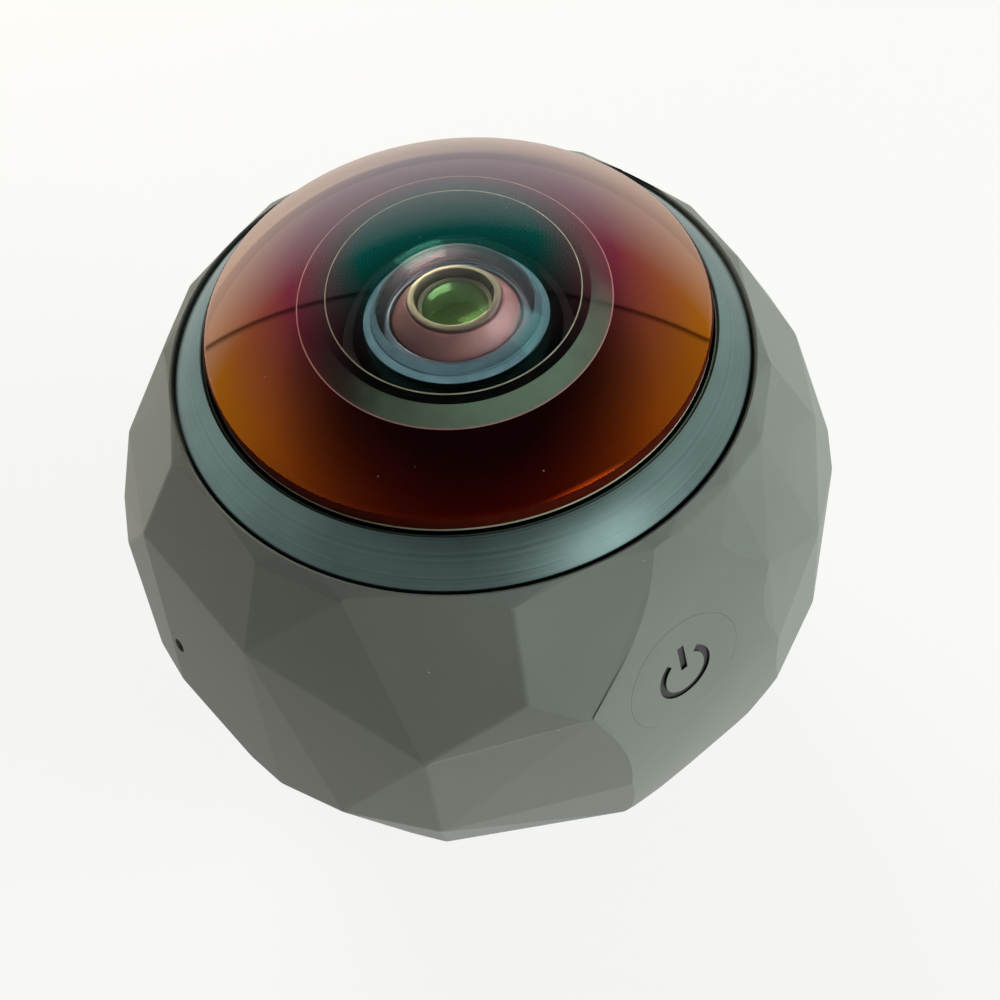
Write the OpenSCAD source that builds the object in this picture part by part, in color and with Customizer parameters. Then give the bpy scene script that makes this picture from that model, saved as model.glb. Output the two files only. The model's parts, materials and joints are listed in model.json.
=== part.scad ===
// Ball-shaped 360 degree camera: a faceted soft-touch shell, one upward fisheye lens under
// a glass dome, a round press button in the crowned front facet and a tripod socket below.
// Millimetres, +Z up. The origin is the mouth of the tripod socket; the button faces -Y.

/* [Ball] */
// Diameter of the sphere that the shell's corners touch
ball_d = 61; // [58:0.5:66]
// Depth from that sphere to the inner cavity
shell_wall = 4.9; // [4.6:0.1:5.3]
// Width of the shell's flat rim round the base plate
base_rim_w = 2.95; // [2.7:0.05:3.3]

/* [Facets] */
// Number of facet sectors round the axis
sectors = 5; // [5]
// Azimuth at which the button's sector starts, from -Y towards +X
sector_start = -27.5; // [-30:0.5:-25]
// Angle from the shell's rim down to the corners under it
corner_drop = 1.4; // [1.2:0.05:1.8]
// Angle from the shell's rim down to the middle of the crowned facet
crown_drop = 31.9; // [31:0.1:33]
// Depth of that facet's middle below the sphere
crown_depth = 1.7; // [1.5:0.05:1.9]
// Radius of the crowned facet
crown_r = 46; // [44:0.5:50]

/* [Bezel and dome] */
// Radius of the round opening in the top of the shell
opening_r = 21.3; // [20:0.05:22]
// Width of the shell's rim round that opening
rim_w = 0.2; // [0.15:0.05:0.3]
// Depth of the rim's edge below the sphere
rim_drop = 0.5; // [0.4:0.05:0.7]
// Depth from the rim to the ledge that carries the lens
ledge_depth = 2.55; // [2.5:0.05:2.7]
// Thickness of that ledge
ledge_t = 1.8; // [1.6:0.1:2]
// Width of that ledge
ledge_w = 2.8; // [2.6:0.05:3]
// Visible gap at both edges of the bezel
bezel_gap = 0.22; // [0.15:0.01:0.3]
// Width of the bezel
bezel_w = 2.83; // [2.6:0.01:3]
// Height of the bezel's inner edge over its outer edge
bezel_rise = 2.3; // [2.1:0.05:2.5]
// Width of the chamfer at the bezel's inner edge
bezel_lip = 0.3; // [0.2:0.05:0.5]
// Thickness of the gasket under the bezel
bezel_gasket_t = 0.3; // [0.2:0.05:0.4]
// Depth of the dome's outer face below the sphere
dome_inset = 0.2; // [0.1:0.05:0.4]
// Air between the dome and the second element
dome_air = 0.7; // [0.5:0.05:0.9]
// Clearance from the baffle ring to the ground bevel at the mouth of the dome's hollow
dome_mouth_gap = 0.1; // [0.08:0.01:0.15]
// Height of that bevel
dome_bevel_h = 1.05; // [0.9:0.05:1.1]
// Thickness of the printed mask under the dome's edge
mask_t = 0.3; // [0.2:0.05:0.35]
// Width of the seal under the dome's edge
dome_seal_w = 1; // [0.8:0.1:1.2]
// Thickness of that seal
dome_seal_t = 0.55; // [0.45:0.05:0.7]

/* [Lens] */
// Thickness of the barrel's flange
flange_t = 1.6; // [1.4:0.1:1.7]
// Height of the dome's seat over the ledge
dome_seat = 4; // [3.9:0.05:4.1]
// Width of the matt baffle ring
baffle_w = 1.8; // [1.6:0.1:1.9]
// Radius of the second element
second_r = 6.6; // [6.4:0.05:6.7]
// Radius of the second element's crowned face over its own radius
second_bulge = 1; // [0.9:0.05:1.2]
// Wall of the second element
second_wall = 1.2; // [1:0.05:1.3]
// Height of the second element's straight edge
second_edge = 0.25; // [0.2:0.05:0.4]
// Width of the barrel retainer
retainer_w = 1.1; // [1:0.05:1.2]
// Height of the barrel retainer
retainer_h = 1.1; // [1:0.05:1.15]
// Height of the funnel's straight foot between the retainer and the inner cell
funnel_h = 2; // [1.8:0.1:2.1]
// Height of the cone above that foot
funnel_rise = 1.2; // [1:0.1:1.3]
// Radius of the third element
third_r = 2.8; // [2.7:0.05:2.9]
// Thickness of the third element
third_t = 1.8; // [1.6:0.1:1.9]
// Wall of the ring round the third element
cell_w = 0.5; // [0.4:0.05:0.55]
// Height of that ring
cell_h = 4.1; // [3.9:0.1:4.2]
// Thickness of the wall under the inner cell
septum_t = 0.8; // [0.7:0.05:1]
// Radius of the rear elements
rear_r = 3.5; // [3.3:0.05:3.6]
// Thickness of each rear element
rear_t = 2.7; // [2.5:0.05:2.8]
// Radius of the fixed aperture
aperture_r = 1.1; // [0.9:0.05:1.3]
// Radius of the barrel's tube
tube_r = 6; // [5.8:0.1:6.4]
// Depth of the sensor board below the ledge
sensor_depth = 11; // [10.8:0.1:11.2]
// Radius of the sensor board
sensor_board_r = 9.8; // [9.6:0.1:10.2]
// Side of the square image sensor
sensor_w = 8.6; // [8:0.1:9]

/* [Button] */
// Radius of the round button
button_r = 4.8; // [4.5:0.05:5]
// Gap round the button
button_gap = 0.07; // [0.06:0.01:0.25]
// Inward travel of the button
button_travel = 0.4; // [0.3:0.05:0.5]
// Height of the button over the middle of the crowned facet, as an angle about the crown's axis
button_turn = 5.5; // [4.5:0.25:6]
// Sideways place of the button
button_x = -1.2; // [-1.6:0.1:0]
// Thickness of the shell over the button's flange
button_lip = 1.95; // [1.8:0.05:2.1]

/* [Base] */
// Thickness of the base plate
base_plate_t = 2.4; // [2.2:0.1:2.6]
// Radius of the tripod thread's bore
tripod_r = 2.6; // [2.55:0.01:2.65]
// Depth of the tripod thread
tripod_depth = 6.5; // [6:0.1:7]
// Outer radius of the threaded insert
insert_r = 5; // [4.8:0.05:5.1]
// Number of charging contacts
contact_count = 4; // [3:1:5]
// Radius of a charging contact
contact_r = 0.9; // [0.7:0.05:0.95]
// Number of base screws
base_screw_count = 4; // [3:1:4]

/* [Inside] */
// Width of the battery
battery_w = 26; // [24:0.5:26]
// Depth of the battery
battery_d = 20; // [18:0.5:20.5]
// Height of the battery
battery_h = 11; // [10:0.25:11.5]
// Thickness of the foam under the battery
pad_t = 1.2; // [1:0.1:1.4]
// Thickness of the chassis floor
chassis_t = 1.4; // [1.2:0.1:1.6]
// Radius of the main board
main_board_r = 18.2; // [18:0.05:18.3]
// Thickness of the main board
main_board_t = 1.2; // [1:0.1:1.4]
// Radius of the vibration motor's case
motor_r = 4.2; // [4:0.1:4.3]
// Height of the vibration motor's case
motor_h = 3; // [2.8:0.1:3.4]
// Radius of the microphone hole
mic_hole_r = 0.6; // [0.4:0.05:0.7]
// Azimuth of the microphone hole, from -Y towards +X
mic_az = -90; // [-93:0.5:-87]
// Elevation of the microphone hole
mic_el = 11; // [9:0.5:13]

/* [Hidden] */
$fn = 96;

// Clearances and small shared sizes
fit = 0.05;
run_fit = 0.04;
over = 1;
sliver = 0.02;
collar_sides = 72;

// Base, from the tripod thread outwards
insert_clear = 0.3;
insert_flange_w = 1.3;
insert_flange_r = insert_r + insert_flange_w;
insert_flange_t = 1;
insert_step = 0.8;
insert_neck_r = insert_r - insert_step;
base_land = 0.6;
contact_circle_r = insert_flange_r + base_land + contact_r;
contact_step = 24;
contact_tail = 1.2;
contact_h = base_plate_t + contact_tail;
charge_board_t = 0.8;
floor_hole_r = contact_circle_r + contact_r + insert_clear;
seal_groove_r = contact_circle_r + contact_r + base_land;
seal_groove_w = 0.8;
seal_groove_depth = 0.6;
base_screw_land = 1.2;
base_screw_circle = seal_groove_r + seal_groove_w + base_screw_land;
base_screw_r = 0.75;
base_screw_head_r = 1.35;
base_screw_reach = 2.6;
base_screw_turn = 45;
base_socket_r = 0.6;
base_screw_edge = 1.6;
base_plate_r = base_screw_circle + base_screw_edge;
base_gap = 0.1;
base_recess_r = base_plate_r + base_gap;
base_r = base_recess_r + base_rim_w;

// Ball
ball_r = ball_d / 2;
cavity_r = ball_r - shell_wall;
centre_h = sqrt(ball_r * ball_r - base_r * base_r);
rim_r = opening_r + rim_w;
rim_z = centre_h + sqrt(ball_r * ball_r - rim_r * rim_r) - rim_drop;
rim_el = asin((rim_z - centre_h) / ball_r);
ledge_z = rim_z - ledge_depth;
ledge_r = opening_r - ledge_w;

// Facet corners: azimuth from the start of their sector, elevation, inset from the sphere
top_el = rim_el - corner_drop;
shared_corners = [[0, top_el, 0], [27, top_el, 0], [44, top_el, 0], [57, 19.5, 0], [57.5, -1, 0],
    [50, -20, 0], [15, -22, 0], [33, -32, 0], [0, -34, 0], [8, -45, 0], [44, -45, 0]];
plain_corners = [[0, 28.5, 0], [28, 28.2, 0.4], [42.5, -2, 0], [6, -5.5, 0], [30.5, -6, 0]];
button_corners = [[0, 29, 0], [28.5, 29, 0], [55.5, top_el - 1, 0], [8, 24, 0], [13.5, -12, 0],
    [43.5, 28, 0.3], [42, 10, 0.6], [42.5, -3, 0], [28.5, 2, 0], [19, 2, 0], [26, -10, 0], [38, -10, 0]];
// Corners of the side facets: azimuth from -Y, elevation, inset
side_corners = [[-123, 25.5, 0], [-108.5, 15.5, 0], [-98, 1, 0], [-89.4, 2.6, 0.25], [-75, -5, 0.25],
    [-42.5, -13, 0], [45.5, 14, 0], [50.5, 17.5, 0], [64.1, 26.5, 0.1]];

function aim(az, el) = [sin(az) * cos(el), -cos(az) * cos(el), sin(el)];
function corner(c, start) = [0, 0, centre_h] + (ball_r - c[2]) * aim(start + c[0], c[1]);
function sector_corners(s) = concat(shared_corners, s == 0 ? button_corners : plain_corners);
shell_points = concat(
    [for (s = [0:sectors - 1])
        each [for (c = sector_corners(s)) corner(c, sector_start + s * 360 / sectors)]],
    [for (c = side_corners) corner(c, 0)]);
point_fans = [for (i = [0:len(shell_points) - 3]) [i, i + 1, i + 2]];

// Crowned facet and the button's axis
crown_el = rim_el - crown_drop;
crown_h = ball_r - crown_depth;
crown_axis = [0, 0, centre_h] + (crown_h - crown_r) * aim(0, crown_el);
button_el = crown_el + button_turn;

// Small screws, and the thread that each has in the piece that it holds to
screw_r = 0.5;
screw_head_r = 0.95;
screw_head_h = 0.6;
screw_hold = 2;
screw_tip_gap = 0.2;
screw_hole = screw_hold + screw_tip_gap;

// Bezel and dome
bezel_out_r = opening_r - bezel_gap;
bezel_in_r = bezel_out_r - bezel_w;
bezel_z = ledge_z + flange_t + bezel_gasket_t;
bezel_top_z = rim_z + bezel_rise;
bezel_lip_drop = 0.17;
bezel_edge = 0.12;
dome_r = ball_r - dome_inset;
dome_edge_r = bezel_in_r - bezel_gap;
dome_z = ledge_z + dome_seat;
flange_r = opening_r - bezel_gap;
flange_screw_circle = (ledge_r + opening_r) / 2;
flange_screw_count = 4;
flange_screw_floor = 0.4;
flange_screw_turn = 45;
flange_screw_z = ledge_z + flange_t - screw_head_h - fit;
flange_hole_z = ledge_z - ledge_t + flange_screw_floor;
gasket_out_step = 0.3;
gasket_in_step = 0.5;
seal_edge = 0.1;
seal_r = dome_edge_r - seal_edge;
mask_gap = 0.1;
mask_r = seal_r - dome_seal_w - mask_gap;
mask_step = 0.3;

// Lens stack, from the dome's seat down
barrel_wall = 1.2;
neck_w = 0.5;
neck_r = second_r + fit + neck_w;
neck_z = dome_z + second_edge;
baffle_land = 1.15;
baffle_r = neck_r + baffle_land + baffle_w;
baffle_sink = 1.2;
baffle_z = dome_z - baffle_sink;
second_crown_r = second_r + second_bulge;
second_t = second_edge + second_crown_r - sqrt(second_crown_r * second_crown_r - second_r * second_r);
second_seat = 0.5;
dome_mouth_r = baffle_r + dome_mouth_gap;
dome_bevel_w = baffle_w + 2 * dome_mouth_gap;
dome_bevel_slope = dome_bevel_h / dome_bevel_w;
dome_hollow_edge_r = dome_mouth_r - dome_bevel_w;
dome_hollow_h = second_t + dome_air - dome_bevel_h;
dome_hollow_r = (pow(dome_hollow_edge_r, 2) + pow(dome_hollow_h, 2)) / (2 * dome_hollow_h);
dome_hollow_z = dome_z + second_t + dome_air - dome_hollow_r;
baffle_low = dome_mouth_gap * (dome_bevel_slope - 1);
baffle_high = baffle_low + baffle_w * dome_bevel_slope;
lens_clear = 0.1;
retainer_r = second_r - second_seat;
retainer_z = dome_z - lens_clear - retainer_h;
funnel_sink = 1.2;
funnel_z = retainer_z - funnel_sink;
funnel_r = retainer_r - retainer_w - lens_clear;
funnel_lip = 0.2;
cell_sink = 0.6;
cell_z = funnel_z - cell_sink;
cell_r = third_r + fit + cell_w;
third_crown_r = 6.2;
third_sink = 0.2;
third_z = cell_z + cell_h - third_sink - third_t;
septum_z = cell_z - septum_t;
septum_seat = 0.5;
stop_t = 0.4;
fourth_z = septum_z - rear_t;
stop_z = fourth_z - stop_t;
rear_z = stop_z - rear_t;
fourth_hollow_r = 6.8;
fourth_hollow_depth = 0.9;
rear_crown_r = 6.3;
rear_retainer_h = 1.4;
rear_retainer_w = 1;
rear_retainer_z = rear_z - rear_retainer_h;
sensor_z = ledge_z - sensor_depth;
sensor_board_t = 1;
skirt_t = 3;
skirt_step = 0.2;
skirt_pocket_r = 7.4;
skirt_pocket_h = 2.2;
sensor_t = 1.5;
filter_t = 0.4;
filter_margin = 0.5;
sensor_screw_circle = (skirt_pocket_r + sensor_board_r) / 2;
sensor_screw_count = 3;
sensor_screw_turn = 30;

// Inside stack, from the end of the threaded insert up
insert_cap_t = 1.5;
insert_top_z = tripod_depth + insert_cap_t;
battery_lift = 0.6;
battery_z = insert_top_z + battery_lift;
pad_z = battery_z - pad_t;
floor_top = pad_z - chassis_t;
floor_r = sqrt(cavity_r * cavity_r - (centre_h - floor_top) * (centre_h - floor_top));
chassis_edge = 1.2;
chassis_r = floor_r - chassis_edge;
chassis_gap = 0.3;
chassis_boss_r = 1.45;
chassis_screw_edge = 2.4;
chassis_screw_y = chassis_r - chassis_screw_edge;
battery_corner_r = 2;
pad_margin = 0.5;
board_clear = 0.8;
main_board_z = battery_z + battery_h + board_clear;
board_top_z = main_board_z + main_board_t;
cheek_t = 1.6;
cheek_d = 14;
cheek_gap = 0.3;
cheek_x = battery_w / 2 + cheek_gap + cheek_t / 2;
board_screw_y = 5;
chip_corner_r = 0.2;
connector = [7, 2.6, 1.2];
connector_y = 12.5;
upper_connector_edge = 2.2;
upper_connector_y = sensor_board_r - upper_connector_edge;
flex_w = 6;
flex_t = 0.25;
flex_bend_r = 2;
shield_size = [15, 11, 2];
shield_place = [1, -1];
shield_wall = 0.25;
shield_corner_r = 0.8;
memory_size = [9, 6, 1];
memory_place = [6, -11];
wireless_size = [7, 5, 1.4];
wireless_can = [5.5, 3.5, 0.4];
wireless_place = [7.5, 11.8];
motor_place = [-9, -10.4];
motor_wall = 0.3;
rotor_gap = 0.4;
rotor_end_gap = 0.2;
shaft_r = 0.5;
hub_r = 1.5;

// Button stack, depths below the facet
cap_flange_t = 0.65;
cap_flange_w = 0.8;
cap_flange_r = button_r + cap_flange_w;
cap_flange_z = -button_lip - cap_flange_t - fit;
cap_boss_r = 1.5;
cap_boss_h = 0.4;
plunger_r = 0.9;
plunger_h = 0.7;
switch_w = 4.5;
switch_t = 1.1;
switch_gap = 0.25;
switch_corner_r = 0.3;
button_board_depth = cap_boss_h + button_travel + switch_gap + switch_t - cap_flange_z;
button_seal_w = 0.6;
button_seal_h = 0.6;
button_seal_depth = 1.5;
button_seal_r = button_r + fit + button_seal_w;
well_gap = 0.4;
button_well_r = cap_flange_r + well_gap;
button_boss_w = 1.9;
button_boss_r = button_well_r + button_boss_w;
button_boss_root = 1.2;
button_board_step = 0.2;
button_board_r = button_boss_r - button_board_step;
button_board_t = 0.8;
button_board_room = 3;
button_board_gap = 0.3;
button_screw_circle = (button_well_r + button_boss_r) / 2;
button_screw_count = 3;
button_screw_turn = 30;
mark_r = 2.3;
mark_w = 0.55;
mark_depth = 0.15;
mark_opening = 70;
mark_bar_start = 0.45;
mark_bar = 2.3;

// Microphone stack, distances from the ball's centre
mic_sink = 0.6;
mic_seat = cavity_r + mic_sink;
mic_gasket_t = 0.6;
mic_gasket_r = 2.2;
mic_size = [3.6, 2.8, 1];
mic_board_t = 0.4;
mic_board_r = 2.6;
mic_pocket_h = 3;
mic_hole_gap = 0.1;

module rounded_plate(w, d, h, r) {
    linear_extrude(h) {
        square([w - 2 * r, d], center = true);
        square([w, d - 2 * r], center = true);
        for (x = [-1, 1], y = [-1, 1]) translate([x * (w / 2 - r), y * (d / 2 - r)]) circle(r, $fn = 32);
    }
}

module chip(size) {
    rounded_plate(size[0], size[1], size[2], chip_corner_r);
}

module ring(r_out, r_in, h) {
    difference() {
        cylinder(r = r_out, h = h);
        translate([0, 0, -over]) cylinder(r = r_in, h = h + 2 * over);
    }
}

module round_array(count, r, start = 0) {
    for (i = [0:count - 1]) rotate(start + i * 360 / count) translate([r, 0, 0]) children();
}

// A screw with a round head, its head's seat at z = 0 and its shaft pointing down
module screw(shaft) {
    difference() {
        cylinder(r = screw_head_r, h = screw_head_h, $fn = 32);
        translate([0, 0, screw_head_h / 2]) cylinder(r = screw_head_r / 2, h = screw_head_h, $fn = 6);
    }
    translate([0, 0, -shaft]) cylinder(r = screw_r, h = shaft + sliver, $fn = 32);
}

// A round lens between two planes, with a crowned upper face
module crowned_lens(r, h, crown) {
    intersection() {
        cylinder(r = r, h = h);
        translate([0, 0, h - crown]) sphere(r = crown);
    }
}

// The frame on the button's axis: z = 0 lies on the facet, and +Z points out of it
module at_button() {
    translate(crown_axis) rotate([90 - button_el, 0, 0]) translate([button_x, 0, crown_r]) children();
}

// The frame on the microphone's axis: z runs outwards from the ball's centre
module at_mic() {
    translate([0, 0, centre_h]) rotate([0, 0, mic_az]) rotate([90 - mic_el, 0, 0]) children();
}

module crown_cut() {
    translate(crown_axis) rotate([0, 90, 0]) cylinder(r = crown_r, h = 2 * ball_d, center = true);
}

// The outside of the shell: corners on the sphere, joined by flat facets
module faceted_ball() {
    hull() {
        polyhedron(shell_points, point_fans);
        cylinder(r = base_r, h = sliver, $fn = 48);
        translate([0, 0, rim_z - sliver]) cylinder(r = rim_r, h = sliver, $fn = collar_sides);
    }
}

module cavity() {
    intersection() {
        translate([0, 0, centre_h]) sphere(r = cavity_r);
        translate([0, 0, floor_top]) cylinder(r = ball_r, h = ledge_z - ledge_t - floor_top);
    }
    translate([0, 0, ledge_z - ledge_t - over]) cylinder(r = ledge_r, h = ledge_t + 2 * over);
    translate([0, 0, ledge_z]) cylinder(r = opening_r, h = ball_r);
}

module button_well() {
    translate([0, 0, -button_lip - over]) cylinder(r = button_r + button_gap, h = button_lip + 2 * over);
    translate([0, 0, -button_seal_depth]) cylinder(r = button_seal_r + fit, h = button_seal_h);
    translate([0, 0, -button_board_depth - over])
        cylinder(r = button_well_r, h = button_board_depth - button_lip + over);
    translate([0, 0, -button_board_depth - button_board_room])
        cylinder(r = button_board_r + button_board_gap, h = button_board_room);
    round_array(button_screw_count, button_screw_circle, button_screw_turn)
        translate([0, 0, -button_board_depth - over]) cylinder(r = screw_r, h = screw_hole + over, $fn = 32);
}

module faceted_shell() {
    color("#5a5d55") difference() {
        union() {
            difference() {
                intersection() {
                    faceted_ball();
                    crown_cut();
                }
                cavity();
            }
            intersection() {
                at_button() translate([0, 0, -button_board_depth])
                    cylinder(r = button_boss_r, h = button_board_depth - button_lip);
                translate([0, 0, centre_h]) sphere(r = cavity_r + button_boss_root);
            }
        }
        at_button() button_well();
        at_mic() {
            cylinder(r = mic_hole_r, h = 2 * ball_r, $fn = 32);
            translate([0, 0, mic_seat - mic_pocket_h]) cylinder(r = mic_board_r + fit, h = mic_pocket_h);
        }
        translate([0, 0, -over]) cylinder(r = base_recess_r, h = base_plate_t + over);
        cylinder(r = floor_hole_r, h = floor_top + over);
        round_array(base_screw_count, base_screw_circle, base_screw_turn)
            cylinder(r = base_screw_r, h = base_plate_t + base_screw_reach, $fn = 32);
        for (y = [-1, 1]) translate([0, y * chassis_screw_y, floor_top - screw_hole])
            cylinder(r = screw_r, h = screw_hole + over, $fn = 32);
        round_array(flange_screw_count, flange_screw_circle, flange_screw_turn)
            translate([0, 0, flange_hole_z]) cylinder(r = screw_r, h = ledge_t + over, $fn = 32);
    }
}

module bezel_ring() {
    color("#6f7a80") rotate_extrude() polygon([[bezel_in_r, bezel_z], [bezel_out_r, bezel_z],
        [bezel_out_r, rim_z - bezel_edge], [bezel_out_r - bezel_edge, rim_z],
        [bezel_in_r + bezel_lip, bezel_top_z], [bezel_in_r, bezel_top_z - bezel_lip_drop]]);
}

module bezel_gasket() {
    color("#1a1a1a") translate([0, 0, ledge_z + flange_t])
        ring(flange_r - gasket_out_step, dome_edge_r + gasket_in_step, bezel_gasket_t);
}

module front_dome() {
    color("#8a2f1c", 0.5) difference() {
        intersection() {
            translate([0, 0, centre_h]) sphere(r = dome_r, $fn = 160);
            translate([0, 0, dome_z]) cylinder(r = dome_edge_r, h = ball_r, $fn = 160);
        }
        translate([0, 0, dome_hollow_z]) sphere(r = dome_hollow_r, $fn = 160);
        translate([0, 0, dome_z - dome_bevel_h]) cylinder(r1 = dome_mouth_r + dome_bevel_w,
            r2 = dome_hollow_edge_r, h = 2 * dome_bevel_h, $fn = 160);
    }
}

module dome_mask() {
    color("#3a0d08") translate([0, 0, dome_z - mask_t])
        ring(mask_r, baffle_r + mask_step, mask_t);
}

module dome_seal() {
    color("#141414") translate([0, 0, dome_z - dome_seal_t])
        ring(seal_r, seal_r - dome_seal_w, dome_seal_t);
}

// The pockets that the barrel holds its rings and elements in, from the top down
module barrel_pockets() {
    translate([0, 0, baffle_z]) ring(baffle_r + fit, baffle_r - baffle_w - fit, ball_r);
    translate([0, 0, dome_z]) cylinder(r = second_r + fit, h = ball_r);
    translate([0, 0, retainer_z]) cylinder(r = retainer_r + fit, h = ball_r);
    translate([0, 0, funnel_z]) cylinder(r = funnel_r + fit, h = ball_r);
    translate([0, 0, cell_z]) cylinder(r = cell_r + fit, h = ball_r);
    translate([0, 0, septum_z - over]) cylinder(r = third_r - septum_seat, h = septum_t + 2 * over);
    translate([0, 0, sensor_z]) cylinder(r = rear_r + fit, h = septum_z - sensor_z);
    translate([0, 0, sensor_z - over]) cylinder(r = skirt_pocket_r, h = skirt_pocket_h + over);
}

module lens_barrel() {
    color("#17181a") difference() {
        union() {
            translate([0, 0, ledge_z]) cylinder(r = flange_r, h = flange_t);
            translate([0, 0, ledge_z - over])
                cylinder(r = dome_edge_r - fit, h = dome_seat - dome_seal_t + over);
            translate([0, 0, ledge_z]) cylinder(r = seal_r - dome_seal_w - fit, h = dome_seat - mask_t);
            translate([0, 0, ledge_z]) cylinder(r = neck_r, h = neck_z - ledge_z);
            translate([0, 0, sensor_z]) cylinder(r = tube_r, h = sensor_depth);
            translate([0, 0, sensor_z]) cylinder(r = sensor_board_r - skirt_step, h = skirt_t);
        }
        barrel_pockets();
        translate([0, 0, ledge_z - 2 * over])
            ring(dome_edge_r - barrel_wall, baffle_r + barrel_wall, 2 * over + dome_seat / 2);
        translate([0, 0, ledge_z - 2 * over]) ring(dome_edge_r - barrel_wall - over, tube_r, 2 * over);
        round_array(flange_screw_count, flange_screw_circle, flange_screw_turn) {
            translate([0, 0, ledge_z - over]) cylinder(r = screw_r + fit, h = 3 * over, $fn = 32);
            translate([0, 0, flange_screw_z]) cylinder(r = screw_head_r + fit, h = over, $fn = 32);
        }
        round_array(sensor_screw_count, sensor_screw_circle, sensor_screw_turn)
            translate([0, 0, sensor_z - over]) cylinder(r = screw_r, h = screw_hole + over, $fn = 32);
    }
}

module flange_screws() {
    color("silver") round_array(flange_screw_count, flange_screw_circle, flange_screw_turn)
        translate([0, 0, flange_screw_z]) screw(flange_screw_z - flange_hole_z - screw_tip_gap);
}

module baffle_ring() {
    color("#6e7064") rotate_extrude() polygon([[baffle_r - baffle_w, baffle_z], [baffle_r, baffle_z],
        [baffle_r, dome_z + baffle_low], [baffle_r - baffle_w, dome_z + baffle_high]]);
}

module second_element() {
    color("#33414a", 0.5) translate([0, 0, dome_z]) difference() {
        crowned_lens(second_r, second_t, second_crown_r);
        translate([0, 0, second_t - second_crown_r]) sphere(r = second_crown_r - second_wall);
    }
}

module barrel_retainer() {
    color("#59656e") translate([0, 0, retainer_z]) ring(retainer_r, retainer_r - retainer_w, retainer_h);
}

module funnel_baffle() {
    color("#5a241c") translate([0, 0, funnel_z]) difference() {
        union() {
            cylinder(r = funnel_r, h = funnel_h);
            translate([0, 0, funnel_h])
                cylinder(r1 = funnel_r, r2 = cell_r + fit + funnel_lip, h = funnel_rise);
        }
        translate([0, 0, -over]) cylinder(r = cell_r + fit, h = funnel_h + funnel_rise + 2 * over);
    }
}

module inner_cell() {
    color("#b9a888") translate([0, 0, cell_z]) {
        ring(cell_r, third_r + fit, cell_h);
        ring(cell_r, third_r - septum_seat, third_z - cell_z);
    }
}

module third_element() {
    color("#2f4a3a", 0.6) translate([0, 0, third_z]) crowned_lens(third_r, third_t, third_crown_r);
}

module fourth_element() {
    color("#3b4650", 0.6) translate([0, 0, fourth_z]) difference() {
        cylinder(r = rear_r, h = rear_t);
        translate([0, 0, fourth_hollow_depth - fourth_hollow_r]) sphere(r = fourth_hollow_r);
    }
}

module aperture_stop() {
    color("#101010") translate([0, 0, stop_z]) ring(rear_r, aperture_r, stop_t);
}

module rear_element() {
    color("#3b4650", 0.6) translate([0, 0, rear_z]) crowned_lens(rear_r, rear_t, rear_crown_r);
}

module rear_retainer() {
    color("#2a2b2d") translate([0, 0, rear_retainer_z])
        ring(rear_r, rear_r - rear_retainer_w, rear_retainer_h);
}

module infrared_filter() {
    color("#7f5a66", 0.6) translate([0, 0, sensor_z + sensor_t])
        linear_extrude(filter_t) square(sensor_w - 2 * filter_margin, center = true);
}

module image_sensor() {
    color("#30343a") translate([0, 0, sensor_z]) linear_extrude(sensor_t) square(sensor_w, center = true);
}

module sensor_board() {
    color("#1e4d33") translate([0, 0, sensor_z - sensor_board_t]) difference() {
        cylinder(r = sensor_board_r, h = sensor_board_t);
        round_array(sensor_screw_count, sensor_screw_circle, sensor_screw_turn)
            translate([0, 0, -over]) cylinder(r = screw_r + fit, h = 3 * over, $fn = 32);
    }
}

module sensor_screws() {
    color("silver") round_array(sensor_screw_count, sensor_screw_circle, sensor_screw_turn)
        translate([0, 0, sensor_z - sensor_board_t]) rotate([180, 0, 0]) screw(sensor_board_t + screw_hold);
}

// Ribbon cable: up from the main board's connector, round one bend and into the sensor board's connector
module sensor_flex() {
    upper_z = sensor_z - sensor_board_t - connector[2] / 2;
    lower_z = board_top_z + connector[2];
    bend_r = min(flex_bend_r, (upper_z - lower_z) / 2);
    bend = [connector_y - bend_r, upper_z - bend_r];
    run_end = upper_connector_y + connector[1] / 2;
    color("#a5702a") translate([-flex_w / 2, 0, 0]) rotate([90, 0, 90]) linear_extrude(flex_w) {
        translate([connector_y - flex_t / 2, lower_z]) square([flex_t, bend[1] - lower_z + sliver]);
        translate([run_end, upper_z - flex_t / 2]) square([bend[0] - run_end + sliver, flex_t]);
        intersection() {
            translate(bend) difference() {
                circle(bend_r + flex_t / 2);
                circle(bend_r - flex_t / 2);
            }
            translate(bend) square(2 * bend_r);
        }
    }
}

module flex_connectors() {
    color("#d8d2c0") {
        translate([0, connector_y, board_top_z]) chip(connector);
        translate([0, upper_connector_y, sensor_z - sensor_board_t - connector[2]]) chip(connector);
    }
}

module main_board() {
    color("#1e4d33") translate([0, 0, main_board_z]) difference() {
        cylinder(r = main_board_r, h = main_board_t);
        for (x = [-1, 1], y = [-1, 1]) translate([x * cheek_x, y * board_screw_y, -over])
            cylinder(r = screw_r + fit, h = 3 * over, $fn = 32);
    }
}

module processor_shield() {
    inner = shield_size - 2 * shield_wall * [1, 1, 0.5];
    color("#b8bcc0") translate([shield_place[0], shield_place[1], board_top_z]) difference() {
        rounded_plate(shield_size[0], shield_size[1], shield_size[2], shield_corner_r);
        translate([0, 0, -over])
            rounded_plate(inner[0], inner[1], inner[2] + over, shield_corner_r - shield_wall);
    }
}

module memory_chip() {
    color("#1b1b1d") translate([memory_place[0], memory_place[1], board_top_z]) chip(memory_size);
}

// A carrier with a raised metal can
module wireless_module() {
    color("#9da2a6") translate([wireless_place[0], wireless_place[1], board_top_z]) {
        chip(wireless_size);
        translate([0, 0, wireless_size[2] - sliver]) chip(wireless_can);
    }
}

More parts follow.
